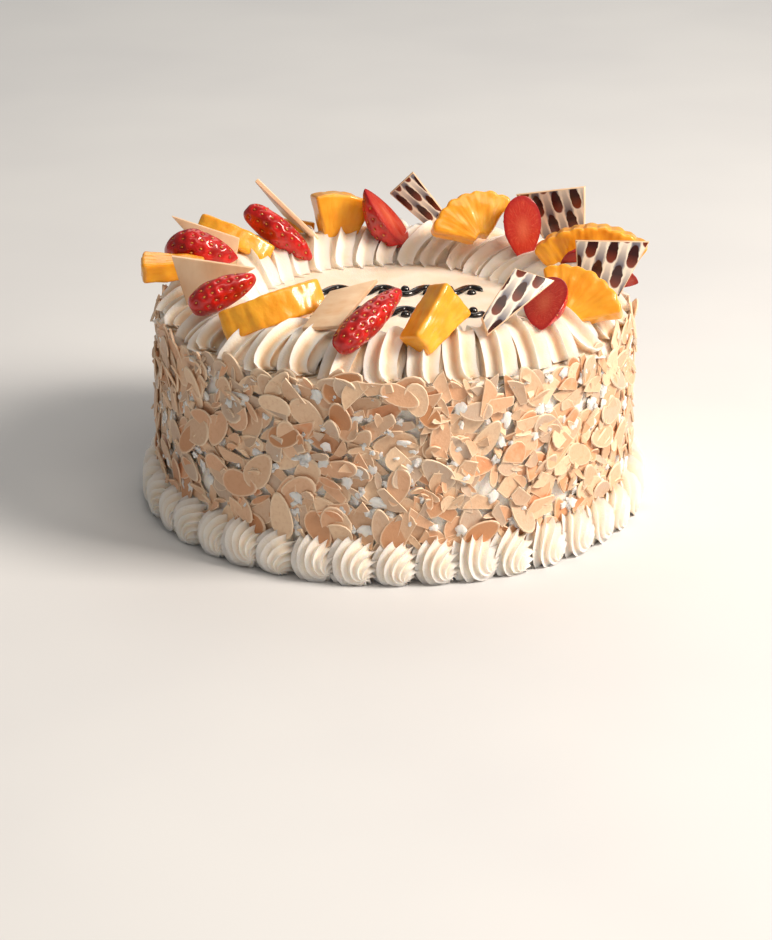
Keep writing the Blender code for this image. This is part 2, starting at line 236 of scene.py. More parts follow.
@dataclass(frozen=True)
class WhippedCream(Finish):
    """Whipped dairy cream: matt foam that light sinks into, with painted shade in a warmer, darker colour
    laid into its flutes.
    """

    name: str = "Whipped dairy cream"
    roughness: float = 0.5
    subsurface: float = 0.6
    subsurface_mm: float = 3.2
    subsurface_tint: Place = (1.0, 0.8, 0.62)
    light: str = "#FBF4EC"
    # Painted shade: the flute colour stands for the shade in the piped flutes; the coat's flat top also
    # takes a fixed share of it.
    flute: str = "#EFCDA2"
    bubble_mm: float = 0.8
    grain_depth: float = 0.09

    def build(self) -> bpy.types.Material:
        """Builds the cream: pale ridges, painted shade in the flutes and the fine tears that a nozzle
        leaves.

        Returns:
            The material.
        """
        material, tree, shader = self.start()
        # The flute attribute sets how much of the painted flute shade colour each point gets.
        flute = add_node(tree, "Attribute", output="Fac", attribute_name="flute")
        deep = self.math(tree, "POWER", flute, 1.4)
        patches = self.patches(tree, 14.0, 0.3, 0.75, 0.5, 1.0, 2.0)
        share = add_node(tree, "Math", {0: deep, 1: patches}, operation="MULTIPLY", use_clamp=True)
        grain = self.patches(tree, self.bubble_mm, 0.2, 0.8)
        colour = self.blended(tree, self.light, (share, self.flute))
        self.surface(tree, shader, colour, grain, self.grain_depth)
        return material


@dataclass(frozen=True)
class FlakedAlmond(Finish):
    """Blanched sliced almond: dry waxy nut meat, paler where the slice is cut thin at its rim."""

    name: str = "Flaked almond"
    roughness: float = 0.42
    dark: str = "#C4875A"
    orange: str = "#E4B28C"
    middle: str = "#DFB794"
    dusty: str = "#CDB39C"
    pale: str = "#F1CFAC"
    rim: str = "#F7E2C6"
    toasted: str = "#E08C56"

    def build(self) -> bpy.types.Material:
        """Builds the nut: each slice has its own tone, fine mottling and a pale rim.

        Returns:
            The material.
        """
        material, tree, shader = self.start()
        tint = add_node(tree, "Attribute", output="Fac", attribute_name="tint")
        rim = add_node(tree, "Attribute", output="Fac", attribute_name="rim")
        steps = []
        tones = ((0.0, 0.1, self.orange), (0.16, 0.3, self.middle), (0.34, 0.42, self.dusty),
                 (0.5, 0.56, self.middle), (0.6, 0.7, self.pale), (0.8, 0.9, self.orange))
        for low, high, colour in tones:
            share = self.ranged(tree, tint, low, high)
            steps.append((share, colour))
        browned = self.ranged(tree, tint, 0.95, 0.97, 0.0, 0.6)
        spots = self.math(tree, "MULTIPLY", browned, self.patches(tree, 5.0, 0.3, 0.6))
        steps.append((spots, self.toasted))
        steps.append((self.patches(tree, 1.8, 0.45, 0.8, 0.0, 0.35, 5.0), self.dark))
        edge = self.ranged(tree, rim, 0.3, 1.0, 0.0, 0.75)
        steps.append((edge, self.rim))
        grain = self.patches(tree, 1.1, 0.2, 0.8)
        self.surface(tree, shader, self.blended(tree, self.dark, *steps), grain, 0.06)
        return material


@dataclass(frozen=True)
class GlazedStrawberry(Finish):
    """Fresh strawberry under clear apricot glaze: wet red skin, pinker flesh where it is cut."""

    name: str = "Glazed strawberry"
    roughness: float = 0.45
    specular: float = 0.25
    subsurface: float = 0.06
    subsurface_mm: float = 1.2
    subsurface_tint: Place = (1.0, 0.22, 0.1)
    coat: float = 0.8
    coat_roughness: float = 0.05
    skin: str = "#9F0A0C"
    bright: str = "#CE1712"
    flesh: str = "#B42A19"
    core: str = "#D66C48"

    def build(self) -> bpy.types.Material:
        """Builds the fruit: blotched skin, and a cut face with a paler heart and rays to its rim.

        Returns:
            The material.
        """
        material, tree, shader = self.start()
        cut = add_node(tree, "Attribute", output="Vector", attribute_name="cut")
        face = add_node(tree, "SeparateXYZ", {0: cut}, None)
        skin = self.blended(tree, self.skin, (self.patches(tree, 7.0, 0.35, 0.68), self.bright))
        flat = add_node(tree, "VectorMath", {0: cut, 1: (1.0, 1.0, 0.0)}, operation="MULTIPLY")
        reach = add_node(tree, "VectorMath", {0: flat}, "Value", operation="LENGTH")
        angle = self.math(tree, "ARCTAN2", face.outputs[1], face.outputs[0])
        turned = self.math(tree, "MULTIPLY", angle, 4.0)
        polar = add_node(tree, "CombineXYZ", {0: turned, 1: reach})
        rays = add_node(tree, "TexNoise", {"Vector": polar, "Scale": 3.0, "Detail": 2.0})
        uneven = self.math(tree, "MULTIPLY_ADD", rays, 0.3, reach)
        heart = self.ranged(tree, uneven, 0.2, 0.65, 0.6, 0.0)
        lines = self.ranged(tree, rays, 0.5, 0.75, 0.0, 0.4)
        rim = self.ranged(tree, reach, 0.8, 0.97)
        flesh = self.blended(tree, self.flesh, (heart, self.core), (lines, self.core), (rim, self.skin))
        colour = self.blended(tree, skin, (face.outputs[2], flesh))
        self.surface(tree, shader, colour, self.patches(tree, 1.4, 0.2, 0.8), 0.08)
        return material


@dataclass(frozen=True)
class StrawberrySeed(Finish):
    """Strawberry seed: a small hard shiny grain, straw yellow under the glaze."""

    name: str = "Strawberry seed"
    roughness: float = 0.3
    coat: float = 0.8
    husk: str = "#D69334"
    burnt: str = "#9C4E18"

    def build(self) -> bpy.types.Material:
        """Builds the seed, some browner than others.

        Returns:
            The material.
        """
        material, tree, shader = self.start()
        browner = self.patches(tree, 6.0, 0.4, 0.7)
        self.surface(tree, shader, self.blended(tree, self.husk, (browner, self.burnt)))
        return material


@dataclass(frozen=True)
class GlazedPineapple(Finish):
    """Tinned pineapple under clear glaze: wet translucent flesh with fibres that run out from the core."""

    name: str = "Glazed pineapple"
    roughness: float = 0.36
    subsurface: float = 0.35
    subsurface_mm: float = 2.5
    subsurface_tint: Place = (1.0, 0.6, 0.1)
    coat: float = 0.6
    coat_roughness: float = 0.08
    flesh: str = "#F5A11A"
    light: str = "#FBB430"
    deep: str = "#E8860F"
    fibre_mm: float = 1.1

    def build(self) -> bpy.types.Material:
        """Builds the flesh: fibres follow the ring's radius through the piece's own grain attribute.

        Returns:
            The material.
        """
        material, tree, shader = self.start()
        grain = add_node(tree, "Attribute", output="Vector", attribute_name="grain")
        stretch = add_node(tree, "Mapping", {"Vector": grain, "Scale": (1.0 / self.fibre_mm, 0.16, 0.5)})
        fibre = add_node(tree, "TexNoise", {"Vector": stretch, "Scale": 1.0, "Detail": 3.0})
        dark = self.ranged(tree, fibre, 0.5, 0.72, 0.0, 0.26)
        pale = self.ranged(tree, fibre, 0.46, 0.28, 0.0, 0.3)
        patches = self.patches(tree, 9.0, 0.3, 0.7)
        colour = self.blended(tree, self.flesh, (patches, self.light), (dark, self.deep), (pale, self.light))
        self.surface(tree, shader, colour, fibre, 0.15)
        return material


@dataclass(frozen=True)
class WhiteChocolate(Finish):
    """White chocolate sheet: smooth fat with a satin bloom, slightly warm and see-through at its edges."""

    name: str = "White chocolate"
    roughness: float = 0.38
    subsurface: float = 0.15
    subsurface_mm: float = 1.2
    light: str = "#EED3B2"
    shade: str = "#DDB48C"

    def build(self) -> bpy.types.Material:
        """Builds the plain back of a sheet, faintly streaked by the spreading knife.

        Returns:
            The material.
        """
        material, tree, shader = self.start()
        place = add_node(tree, "TexCoord", output="Object")
        streak = add_node(tree, "Mapping", {"Vector": place, "Scale": (120.0, 300.0, 60.0)})
        smear = add_node(tree, "TexNoise", {"Vector": streak, "Scale": 1.0, "Detail": 3.0})
        share = self.ranged(tree, smear, 0.3, 0.75)
        self.surface(tree, shader, self.blended(tree, self.light, (share, self.shade)), smear, 0.05)
        return material


@dataclass(frozen=True)
class PrintedChocolate(WhiteChocolate):
    """The printed side: cocoa butter drops with smoky tails in staggered columns, off a transfer sheet."""

    name: str = "Printed white chocolate"
    roughness: float = 0.26
    coat: float = 0.2
    ground: str = "#F4EADB"
    dark: str = "#35120F"
    brown: str = "#7C3420"
    smoke: str = "#6C6A76"
    column_mm: float = 4.65
    period_mm: float = 20.6
    body_mm: float = 11.0
    body_width_mm: float = 5.2

    def build(self) -> bpy.types.Material:
        """Builds the print from the piece's own print attribute, whose Y runs up the drops.

        Returns:
            The material.
        """
        material, tree, shader = self.start()
        flat = add_node(tree, "Attribute", output="Vector", attribute_name="print")
        axes = add_node(tree, "SeparateXYZ", {0: flat}, None)
        wobble = add_node(tree, "TexNoise", {"Vector": flat, "Scale": 0.35, "Detail": 1.0})
        across = self.math(tree, "MULTIPLY_ADD", wobble, 1.2, axes.outputs[0])
        column = self.math(tree, "DIVIDE", across, self.column_mm)
        number = self.math(tree, "FLOOR", column)
        odd = self.math(tree, "FLOORED_MODULO", number, 2.0)
        part = self.math(tree, "FRACT", column)
        centred = self.math(tree, "SUBTRACT", part, 0.5)
        shifted = self.math(tree, "MULTIPLY_ADD", odd, self.period_mm / 2, axes.outputs[1])
        up = self.math(tree, "FLOORED_MODULO", shifted, self.period_mm)
        half = self.body_mm / 2
        rise = self.ranged(tree, up, 0.2, self.body_mm + 0.2, -1.0, 1.0, clamp=False)
        plump = self.math(tree, "MULTIPLY_ADD", rise, -0.4, self.body_width_mm / 2)
        side = self.math(tree, "MULTIPLY", centred, self.column_mm)
        wide = self.math(tree, "DIVIDE", side, plump)
        squared = self.math(tree, "MULTIPLY", wide, wide)
        ball = self.math(tree, "MULTIPLY_ADD", rise, rise, squared)
        drop = self.ranged(tree, ball, 0.82, 1.05, 1.0, 0.0)
        foot = self.ranged(tree, rise, -0.9, 0.15)
        tone = self.blended(tree, self.brown, (foot, self.dark))
        fade = self.ranged(tree, up, self.body_mm, self.period_mm + 1.5, 1.0, 0.0)
        width = self.math(tree, "MULTIPLY_ADD", fade, 1.5, 0.9)
        aside = self.math(tree, "ABSOLUTE", side)
        share = self.math(tree, "DIVIDE", aside, width)
        band = self.ranged(tree, share, 0.6, 1.1, 1.0, 0.0)
        above = self.ranged(tree, up, half, half + 1.5)
        strong = self.math(tree, "MULTIPLY", fade, above)
        tail = self.math(tree, "MULTIPLY", band, strong)
        self.surface(tree, shader, self.blended(tree, self.ground, (tail, self.smoke), (drop, tone)))
        return material


@dataclass(frozen=True)
class PipingGel(Finish):
    """Piping gel coloured black: smooth sugar gel that stands glossy and round."""

    name: str = "Black piping gel"
    roughness: float = 0.16
    coat: float = 0.6
    light: str = "#1B1414"
    dark: str = "#0D0B0C"

    def build(self) -> bpy.types.Material:
        """Builds the gel, a little browner where it is thin.

        Returns:
            The material.
        """
        material, tree, shader = self.start()
        thin = self.patches(tree, 4.0, 0.3, 0.7)
        self.surface(tree, shader, self.blended(tree, self.dark, (thin, self.light)))
        return material


@dataclass(frozen=True)
class PalePaper(Finish):
    """Matt paper backdrop."""

    name: str = "Pale paper"
    roughness: float = 0.85
    light: str = "#DFE2E5"
    shade: str = "#D8DBDF"

    def build(self) -> bpy.types.Material:
        """Builds the paper with its faint cloudiness.

        Returns:
            The material.
        """
        material, tree, shader = self.start()
        clouds = self.patches(tree, 300.0, 0.3, 0.7)
        self.surface(tree, shader, self.blended(tree, self.light, (clouds, self.shade)))
        return material


def only(piece: bpy.types.Object) -> bpy.types.Object:
    """Selects one object alone and makes it active.

    Args:
        piece: object to select.

    Returns:
        The same object.
    """
    bpy.ops.object.select_all(action="DESELECT")
    piece.select_set(True)
    bpy.context.view_layer.objects.active = piece
    return piece


def newest(name: str) -> bpy.types.Object:
    """Names the object that an operator has just added.

    Args:
        name: its name from now on.

    Returns:
        The object.
    """
    piece = bpy.context.object
    piece.name = name
    piece.data.name = name
    return piece


def added(name: str, operator: Callable[..., Any], **settings: Any) -> bpy.types.Object:
    """Adds a primitive with nothing else selected.

    Args:
        name: name of the new object.
        operator: operator that adds it.
        settings: the operator's values.

    Returns:
        The object.
    """
    bpy.ops.object.select_all(action="DESELECT")
    operator(**settings)
    return newest(name)


def in_edit_mode(piece: bpy.types.Object, *steps: Callable[[], Any]) -> None:
    """Runs operators on the whole mesh in edit mode.

    Args:
        piece: object to shape.
        steps: calls to make in turn.
    """
    only(piece)
    bpy.ops.object.mode_set(mode="EDIT")
    bpy.ops.mesh.select_all(action="SELECT")
    for step in steps:
        step()
    bpy.ops.object.mode_set(mode="OBJECT")


def points_of(piece: bpy.types.Object) -> np.ndarray:
    """Reads a mesh's points.

    Args:
        piece: mesh object.

    Returns:
        One row of three metres for each point.
    """
    flat = np.empty(len(piece.data.vertices) * 3)
    piece.data.vertices.foreach_get("co", flat)
    return flat.reshape(-1, 3)


def normals_of(piece: bpy.types.Object) -> np.ndarray:
    """Reads the direction that each point of a mesh faces.

    Args:
        piece: mesh object.

    Returns:
        One row of three for each point.
    """
    flat = np.empty(len(piece.data.vertices) * 3)
    piece.data.vertices.foreach_get("normal", flat)
    return flat.reshape(-1, 3)


def set_points(piece: bpy.types.Object, points: np.ndarray) -> None:
    """Moves a mesh's points.

    Args:
        piece: mesh object.
        points: new places in metres.
    """
    piece.data.vertices.foreach_set("co", np.ascontiguousarray(points, np.float64).ravel())
    piece.data.update()


def set_attribute(piece: bpy.types.Object, name: str, values: np.ndarray) -> None:
    """Stores a number or a vector on each point for the materials.

    Args:
        piece: mesh object.
        name: the attribute's name.
        values: one number or one row of three for each point.
    """
    kind, key = ("FLOAT", "value") if values.ndim == 1 else ("FLOAT_VECTOR", "vector")
    made = piece.data.attributes.new(name, kind, "POINT")
    made.data.foreach_set(key, np.ascontiguousarray(values, np.float32).ravel())


def transformed(points: np.ndarray, place: Matrix) -> np.ndarray:
    """Moves points by a matrix.

    Args:
        points: places in metres.
        place: the matrix.

    Returns:
        The moved places.
    """
    table = np.array(place)
    return points @ table[:3, :3].T + table[:3, 3]


def ripple(points: np.ndarray, size: float, seed: float) -> np.ndarray:
    """Reads soft noise at each point.

    Args:
        points: places in metres.
        size: size of a lump in millimetres.
        seed: moves the pattern.

    Returns:
        One number from -1 to 1 for each point.
    """
    scaled = points / (size * MM) + seed
    return np.array([noise.noise(p) for p in scaled.tolist()])


def wall_axes(around: float) -> tuple[Vector, Vector, Vector]:
    """Gives the ways outward, sideways and up at an angle round the cake, in radians."""
    outward = Vector((math.cos(around), math.sin(around), 0))
    return outward, Vector((-outward.y, outward.x, 0)), Vector((0, 0, 1))


def side_spread(height: float) -> float:
    """Gives how much wider the cake's side is at a height than at its top, in millimetres."""
    return (SIDE_HEIGHT - height) / SIDE_HEIGHT * SIDE_SPREAD


def frame_at(centre: Place, x_way: Place, z_way: Place) -> Matrix:
    """Makes a local frame, as the cake's solids do.

    Args:
        centre: origin in millimetres.
        x_way: direction of the local X axis.
        z_way: direction that the local Z axis follows as closely as it can.

    Returns:
        The frame as a matrix in metres.
    """
    x_axis = Vector(x_way).normalized()
    y_axis = Vector(z_way).cross(x_axis).normalized()
    z_axis = x_axis.cross(y_axis)
    place = Matrix((x_axis, y_axis, z_axis)).transposed().to_4x4()
    place.translation = Vector(centre) * MM
    return place


def swept(name: str, path: np.ndarray, sizes: np.ndarray, outline: np.ndarray,
          closed: bool) -> bpy.types.Object:
    """Draws an outline along a path with a curve and turns it into a mesh.

    Args:
        name: name of the new object.
        path: places in metres.
        sizes: how large the outline is at each place.
        outline: points of the outline in metres, clockwise.
        closed: joins the end of the path to its start.

    Returns:
        The mesh object, ring after ring of the outline's points, after the two caps of an open path.
    """
    curves = []
    for label, rows, cyclic in (("outline", outline, True), ("path", path, closed)):
        curve = bpy.data.curves.new(f"{name}_{label}", "CURVE")
        curve.dimensions = "3D"
        spline = curve.splines.new("POLY")
        spline.points.add(len(rows) - 1)
        full = np.ones((len(rows), 4))
        full[:, :rows.shape[1]] = rows
        full[:, rows.shape[1]:3] = 0
        spline.points.foreach_set("co", full.ravel())
        spline.use_cyclic_u = cyclic
        made = bpy.data.objects.new(curve.name, curve)
        bpy.context.scene.collection.objects.link(made)
        curves.append(made)
    shape, line = curves
    line.data.splines[0].points.foreach_set("radius", np.asarray(sizes, float))
    line.data.twist_mode = "Z_UP" if closed else "MINIMUM"
    line.data.bevel_mode = "OBJECT"
    line.data.bevel_object = shape
    line.data.use_fill_caps = not closed
    only(line)
    bpy.ops.object.convert(target="MESH")
    bpy.data.objects.remove(shape)
    return newest(name)


def joined_copies(name: str, shapes: Sequence[bpy.types.Object], picks: Sequence[int],
                  places: Sequence[Matrix], values: dict[str, Sequence[float]]) -> bpy.types.Object:
    """Copies modelled shapes to many places and joins the copies into one mesh.

    Args:
        name: name of the joined object.
        shapes: modelled shapes, which are removed afterwards.
        picks: which shape each copy is of.
        places: where each copy goes.
        values: one number for each copy, by attribute name.

    Returns:
        The joined object, with the shapes' own rim attribute and the copies' values on its points.
    """
    bases = [points_of(shape) for shape in shapes]
    facets = [[tuple(face.vertices) for face in shape.data.polygons] for shape in shapes]
    rimmed = "rim" in shapes[0].data.attributes
    rims = []
    for shape, base in zip(shapes, bases):
        row = np.zeros(len(base))
        if rimmed:
            shape.data.attributes["rim"].data.foreach_get("value", row)
        rims.append(row)
    points, faces, rim_rows = [], [], []
    tables = {key: [] for key in values}
    start = 0
    for number, (pick, place) in enumerate(zip(picks, places)):
        points.append(transformed(bases[pick], place))
        faces.extend([tuple(start + v for v in face) for face in facets[pick]])
        rim_rows.append(rims[pick])
        for key, row in values.items():
            tables[key].append(np.full(len(bases[pick]), row[number]))
        start += len(bases[pick])
    mesh = bpy.data.meshes.new(name)
    mesh.from_pydata(np.concatenate(points).tolist(), [], faces)
    piece = bpy.data.objects.new(name, mesh)
    bpy.context.scene.collection.objects.link(piece)
    if rimmed:
        set_attribute(piece, "rim", np.concatenate(rim_rows))
    for key, rows in tables.items():
        set_attribute(piece, key, np.concatenate(rows))
    for shape in shapes:
        bpy.data.objects.remove(shape)
    return piece


def hand_over(piece: bpy.types.Object, materials: Iterable[bpy.types.Material],
              nodes: Sequence[str] = (), crease: float = 40.0) -> bpy.types.Object:
    """Gives a finished piece its materials, smooth shading and its place in the frame.

    Args:
        piece: the finished object.
        materials: its materials, in slot order.
        nodes: solids that it stands for.
        crease: largest angle in degrees that is shaded smooth.

    Returns:
        The same object.
    """
    piece.data.materials.clear()
    for material in materials:
        piece.data.materials.append(material)
    only(piece)
    bpy.ops.object.shade_smooth_by_angle(angle=math.radians(crease))
    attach(piece, BODY)
    if nodes:
        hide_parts(*nodes)
    log.info("%s: %d faces", piece.name, len(piece.data.polygons))
    return piece


@dataclass(frozen=True)
class StarNozzle:
    """Section of cream from a star nozzle: sharp ridges with round flutes between them."""

    ridges: int
    steps: int
    tip: float
    root: float
    squash: float
    sharpness: float

    def depth(self) -> np.ndarray:
        """Works out how deep in a flute each point of the section lies.

        Returns:
            One number for each point, 0 on a ridge and 1 in a flute.
        """
        count = self.ridges * self.steps
        turn = np.arange(count) / count * 2 * np.pi
        return np.abs(np.sin(turn * self.ridges / 2)) ** self.sharpness

    def outline(self) -> np.ndarray:
        """Draws the section clockwise.

        Returns:
            Its points in metres.
        """
        count = self.ridges * self.steps
        turn = -np.arange(count) / count * 2 * np.pi + np.pi / 2
        radius = self.tip - (self.tip - self.root) * self.depth()
        return np.stack([np.cos(turn) * radius, np.sin(turn) * radius * self.squash], 1) * MM


@dataclass
class CoilBorder:
    """Thick rope of cream piped in leaning loops on the edge of the top."""

    nozzle: StarNozzle = StarNozzle(ridges=7, steps=7, tip=8.7, root=5.0, squash=0.84, sharpness=0.65)
    turns: int = 36
    steps: int = 36
    ring_radius: float = 82.0
    reach: float = 16.7
    bow: float = -0.6
    lean: float = 5.6
    sweep: float = 8.0
    height: float = 90.0
    lift: float = 5.0
    droop: float = 4.2
    dip: float = 6.5
    base: float = 86.0
    front_rise: float = 0.184
    under_tuck: float = 0.12
    under_shift: float = 0.5
    under_thin: float = 0.36
    thickness: float = 1.03
    outer_thin: float = 0.05
    # Painted flute shade is full from 80 mm out and fades to half of it towards the inside of the ring.
    inner_ring: float = 66.0
    inner_fade: float = 14.0
    inner_flute_shade: float = 0.5
    outer_limit: float = 108.0
    seed: int = 5

    def wander(self, draw: random.Random, amount: float) -> np.ndarray:
        """Draws a number for each loop and blends them along the rope.

        Args:
            draw: source of the numbers.
            amount: largest change.

        Returns:
            One number for each point of the path.
        """
        knots = np.array([draw.uniform(-amount, amount) for _ in range(self.turns)])
        share = np.arange(self.turns * self.steps) / self.steps
        return np.interp(share, np.arange(self.turns + 1), np.append(knots, knots[0]))

    def path(self) -> tuple[np.ndarray, np.ndarray]:
        """Works out the rope's path round the cake.

        Returns:
            Its places in metres and the rope's size at each.
        """
        draw = random.Random(self.seed)
        phase = np.arange(self.turns * self.steps) / self.steps * 2 * np.pi
        reach = self.reach + self.wander(draw, 1.0)
        bow = self.bow + self.wander(draw, 1.6)
        lift = self.lift + self.wander(draw, 0.5)
        slip = self.wander(draw, 1.5)
        under = np.clip(np.sin(phase), 0, 1)
        inward = np.clip(-np.cos(phase), 0, 1)
        radius = self.ring_radius + reach * np.cos(phase) * (1 - self.under_tuck * under)
        radius += reach * self.under_shift * inward * under
        aside = bow * np.sin(phase) - self.lean * np.cos(phase) + (self.sweep + slip) * inward ** 2 + slip
        around = phase / self.turns + aside / self.ring_radius
        hang = np.abs(np.cos(phase)) ** 1.5 * (1 + 0.35 * np.cos(phase))
        high = self.height - lift * np.sin(phase) - self.droop * hang - self.dip * inward ** 3
        high = self.base + (high - self.base) * (1 - self.front_rise * np.sin(around))
        places = np.stack([np.cos(around) * radius, np.sin(around) * radius, high], 1)
        sizes = self.thickness + self.wander(draw, 0.05) - self.under_thin * under
        return places * MM, sizes - self.outer_thin * np.cos(phase)

    def build(self, cream: bpy.types.Material) -> bpy.types.Object:
        """Pipes the border.

        Args:
            cream: its material.

        Returns:
            The finished piece.
        """
        places, sizes = self.path()
        piece = swept("coiled_cream_border", places, sizes, self.nozzle.outline(), True)
        # Painted shade in the flutes: full strength from 80 mm out, down to half at 73 mm and inward.
        away = np.hypot(places[:, 0], places[:, 1]) / MM - self.inner_ring
        tone = np.clip(away / self.inner_fade, self.inner_flute_shade, 1)
        set_attribute(piece, "flute", np.outer(tone, self.nozzle.depth()).ravel())
        points = points_of(piece)
        facing = normals_of(piece)
        points += facing * (ripple(points, 6.0, 3.0) * 0.35 + ripple(points, 2.2, 9.0) * 0.14)[:, None] * MM
        out = np.hypot(points[:, 0], points[:, 1])
        limit = self.outer_limit * MM
        points[:, :2] *= np.where(out > limit, limit / out, 1)[:, None]
        set_points(piece, points)
        return hand_over(piece, [cream], ["top_border"], 60)


@dataclass
class ShellBorder:
    """Short curled shells of cream piped side by side round the foot."""

    count: int = 40
    ridges: int = 9
    steps_per_ridge: int = 8
    rings: int = 24
    twist: float = 1.7
    flute: float = 0.28
    half_sizes: Place = (11.9, 10.2, 11.9)
    wall: float = 105.2
    middle: float = 8.3
    soft_limit: float = 112.0
    soft_range: float = 3.2
    outer_limit: float = 114.9
    # Share of each shell's flute depth that is painted as flute shade.
    flute_shade_share: float = 0.55
    eyes: tuple[Place, ...] = ((0.5, 0.75, -0.45), (0.35, 0.8, -0.55), (0.6, 0.7, -0.3))
    seed: int = 11

    def shape(self, eye: Place) -> bpy.types.Object:
        """Models one shell: ridges curl out of the spot where the nozzle let go.

        Args:
            eye: direction of that spot, sideways, outward and up.

        Returns:
            The object, with the depth of its flutes as the rim attribute.
        """
        piece = added("shell", bpy.ops.mesh.primitive_uv_sphere_add,
                      segments=self.ridges * self.steps_per_ridge, ring_count=self.rings, radius=1)
        unit = points_of(piece)
        tilt = np.arccos(np.clip(unit[:, 2], -1, 1))
        around = np.arctan2(unit[:, 1], unit[:, 0])
        deep = np.abs(np.sin(around * self.ridges / 2)) ** 0.75
        radius = 1 - self.flute * deep * np.clip(np.sin(tilt) * 1.5, 0, 1)
        curled = around + self.twist * tilt
        rows = np.stack([np.sin(tilt) * np.cos(curled), np.sin(tilt) * np.sin(curled), np.cos(tilt)], 1)
        turn = Vector((0, 0, 1)).rotation_difference(Vector(eye)).to_matrix().to_4x4()
        set_points(piece, transformed(rows * radius[:, None], turn) * np.array(self.half_sizes) * MM)
        set_attribute(piece, "rim", deep)
        return piece

    def build(self, cream: bpy.types.Material) -> bpy.types.Object:
        """Pipes the shells round the foot, each a little different.

        Args:
            cream: its material.

        Returns:
            The finished piece.
        """
        draw = random.Random(self.seed)
        places = []
        for number in range(self.count):
            around = (number + draw.uniform(-0.06, 0.06)) / self.count * 2 * math.pi
            outward, sideways, up = wall_axes(around)
            place = Matrix((sideways, outward, up)).transposed().to_4x4()
            place.translation = (outward * self.wall + up * self.middle) * MM
            turn = Matrix.Rotation(draw.uniform(-0.2, 0.2), 4, "Y")
            turn @= Matrix.Rotation(draw.uniform(-0.1, 0.1), 4, "Z")
            size = draw.uniform(0.96, 1.05)
            places.append(place @ turn @ Matrix.Diagonal((size, size, size * draw.uniform(0.96, 1.03), 1)))
        shapes = [self.shape(eye) for eye in self.eyes]
        picks = [draw.randrange(len(shapes)) for _ in places]
        piece = joined_copies("foot_cream_shells", shapes, picks, places, {})
        # Painted shade in the shells' flutes: 0.55 of each point's flute depth.
        flutes = np.zeros(len(piece.data.vertices))
        piece.data.attributes["rim"].data.foreach_get("value", flutes)
        set_attribute(piece, "flute", flutes * self.flute_shade_share)
        points = points_of(piece)
        lumps = ripple(points, 5.0, 7.0) * 0.5 + ripple(points, 1.8, 1.0) * 0.1
        points += normals_of(piece) * lumps[:, None] * MM
        out = np.hypot(points[:, 0], points[:, 1]) / MM
        past = out - self.soft_limit
        pressed = self.soft_limit + (self.outer_limit - self.soft_limit) * np.tanh(past / self.soft_range)
        squeezed = np.where(past > 0, pressed, out)
        points[:, :2] *= (squeezed / out)[:, None]
        points[:, 2] = np.maximum(points[:, 2], 0.02 * MM)
        set_points(piece, points)
        return hand_over(piece, [cream], ["foot_border"], 50)


@dataclass
class CreamCoat:
    """Cream spread over the whole cake with a knife."""

    height: float = 85.6
    top_radius: float = 103.0
    foot_radius: float = 104.6
    edge: float = 4.0
    wall_step: float = 2.6
    edge_steps: int = 5
    under_ring: float = 60.0
    top_ring: float = 96.0
    top_step: float = 3.0
    around: int = 220
    flat_above: float = 84.5
    # Share of the painted flute shade colour laid over the whole flat top.
    top_warmth: float = 0.66

    def profile(self) -> list[tuple[float, float]]:
        """Draws half of the section, from the middle of the underside to the middle of the top.

        Returns:
            Distance from the axis and height of each point, in millimetres.
        """
        rows = [(0.0, 0.0), (self.under_ring, 0.0), (self.foot_radius, 0.0)]
        climb = int((self.height - self.edge) / self.wall_step)
        for step in range(1, climb + 1):
            share = step / climb
            radius = self.foot_radius + (self.top_radius - self.foot_radius) * share
            rows.append((radius, (self.height - self.edge) * share))
        for step in range(1, self.edge_steps + 1):
            turn = math.pi / 2 * step / self.edge_steps
            rows.append((self.top_radius - self.edge + self.edge * math.cos(turn),
                         self.height - self.edge + self.edge * math.sin(turn)))
        rows.extend((radius, self.height) for radius in np.arange(self.top_ring, 0.0, -self.top_step))
        rows.append((0.0, self.height))
        return rows

    def build(self, cream: bpy.types.Material) -> bpy.types.Object:
        """Turns the coat and leaves the knife's low waves in it.

        Args:
            cream: its material.

        Returns:
            The finished piece.
        """
        rows = self.profile()
        piece = added("cream_coat_and_sponge", bpy.ops.mesh.primitive_circle_add,
                      vertices=len(rows), radius=0.01)
        set_points(piece, np.array([(radius, 0.0, height) for radius, height in rows]) * MM)
        only(piece)
        bpy.ops.object.mode_set(mode="EDIT")
        bpy.ops.mesh.select_all(action="DESELECT")
        bpy.ops.object.mode_set(mode="OBJECT")
        for edge in piece.data.edges:
            edge.select = all(rows[v][0] == 0 for v in edge.vertices)
        bpy.ops.object.mode_set(mode="EDIT")
        bpy.ops.mesh.select_mode(type="EDGE")
        bpy.ops.mesh.delete(type="EDGE")
        bpy.ops.mesh.select_mode(type="VERT")
        bpy.ops.mesh.select_all(action="SELECT")
        bpy.ops.mesh.spin(steps=self.around, angle=2 * math.pi, center=(0, 0, 0), axis=(0, 0, 1))
        bpy.ops.mesh.select_all(action="SELECT")
        bpy.ops.mesh.remove_doubles(threshold=0.01 * MM)
        bpy.ops.mesh.normals_make_consistent(inside=False)
        bpy.ops.object.mode_set(mode="OBJECT")
        points = points_of(piece)
        facing = normals_of(piece)
        wave = ripple(points * np.array([1, 1, 2.0]), 16.0, 2.0) * 0.4 + ripple(points, 5.0, 4.0) * 0.15
        points += facing * (wave * (points[:, 2] > 0.001))[:, None] * MM
        set_points(piece, points)
        # The flat top takes 0.66 of the warm flute shade colour all over, so it is warmer and darker than
        # the side.
        set_attribute(piece, "flute", np.where(points[:, 2] > self.flat_above * MM, self.top_warmth, 0.0))
        return hand_over(piece, [cream], ["cake_body"], 60)


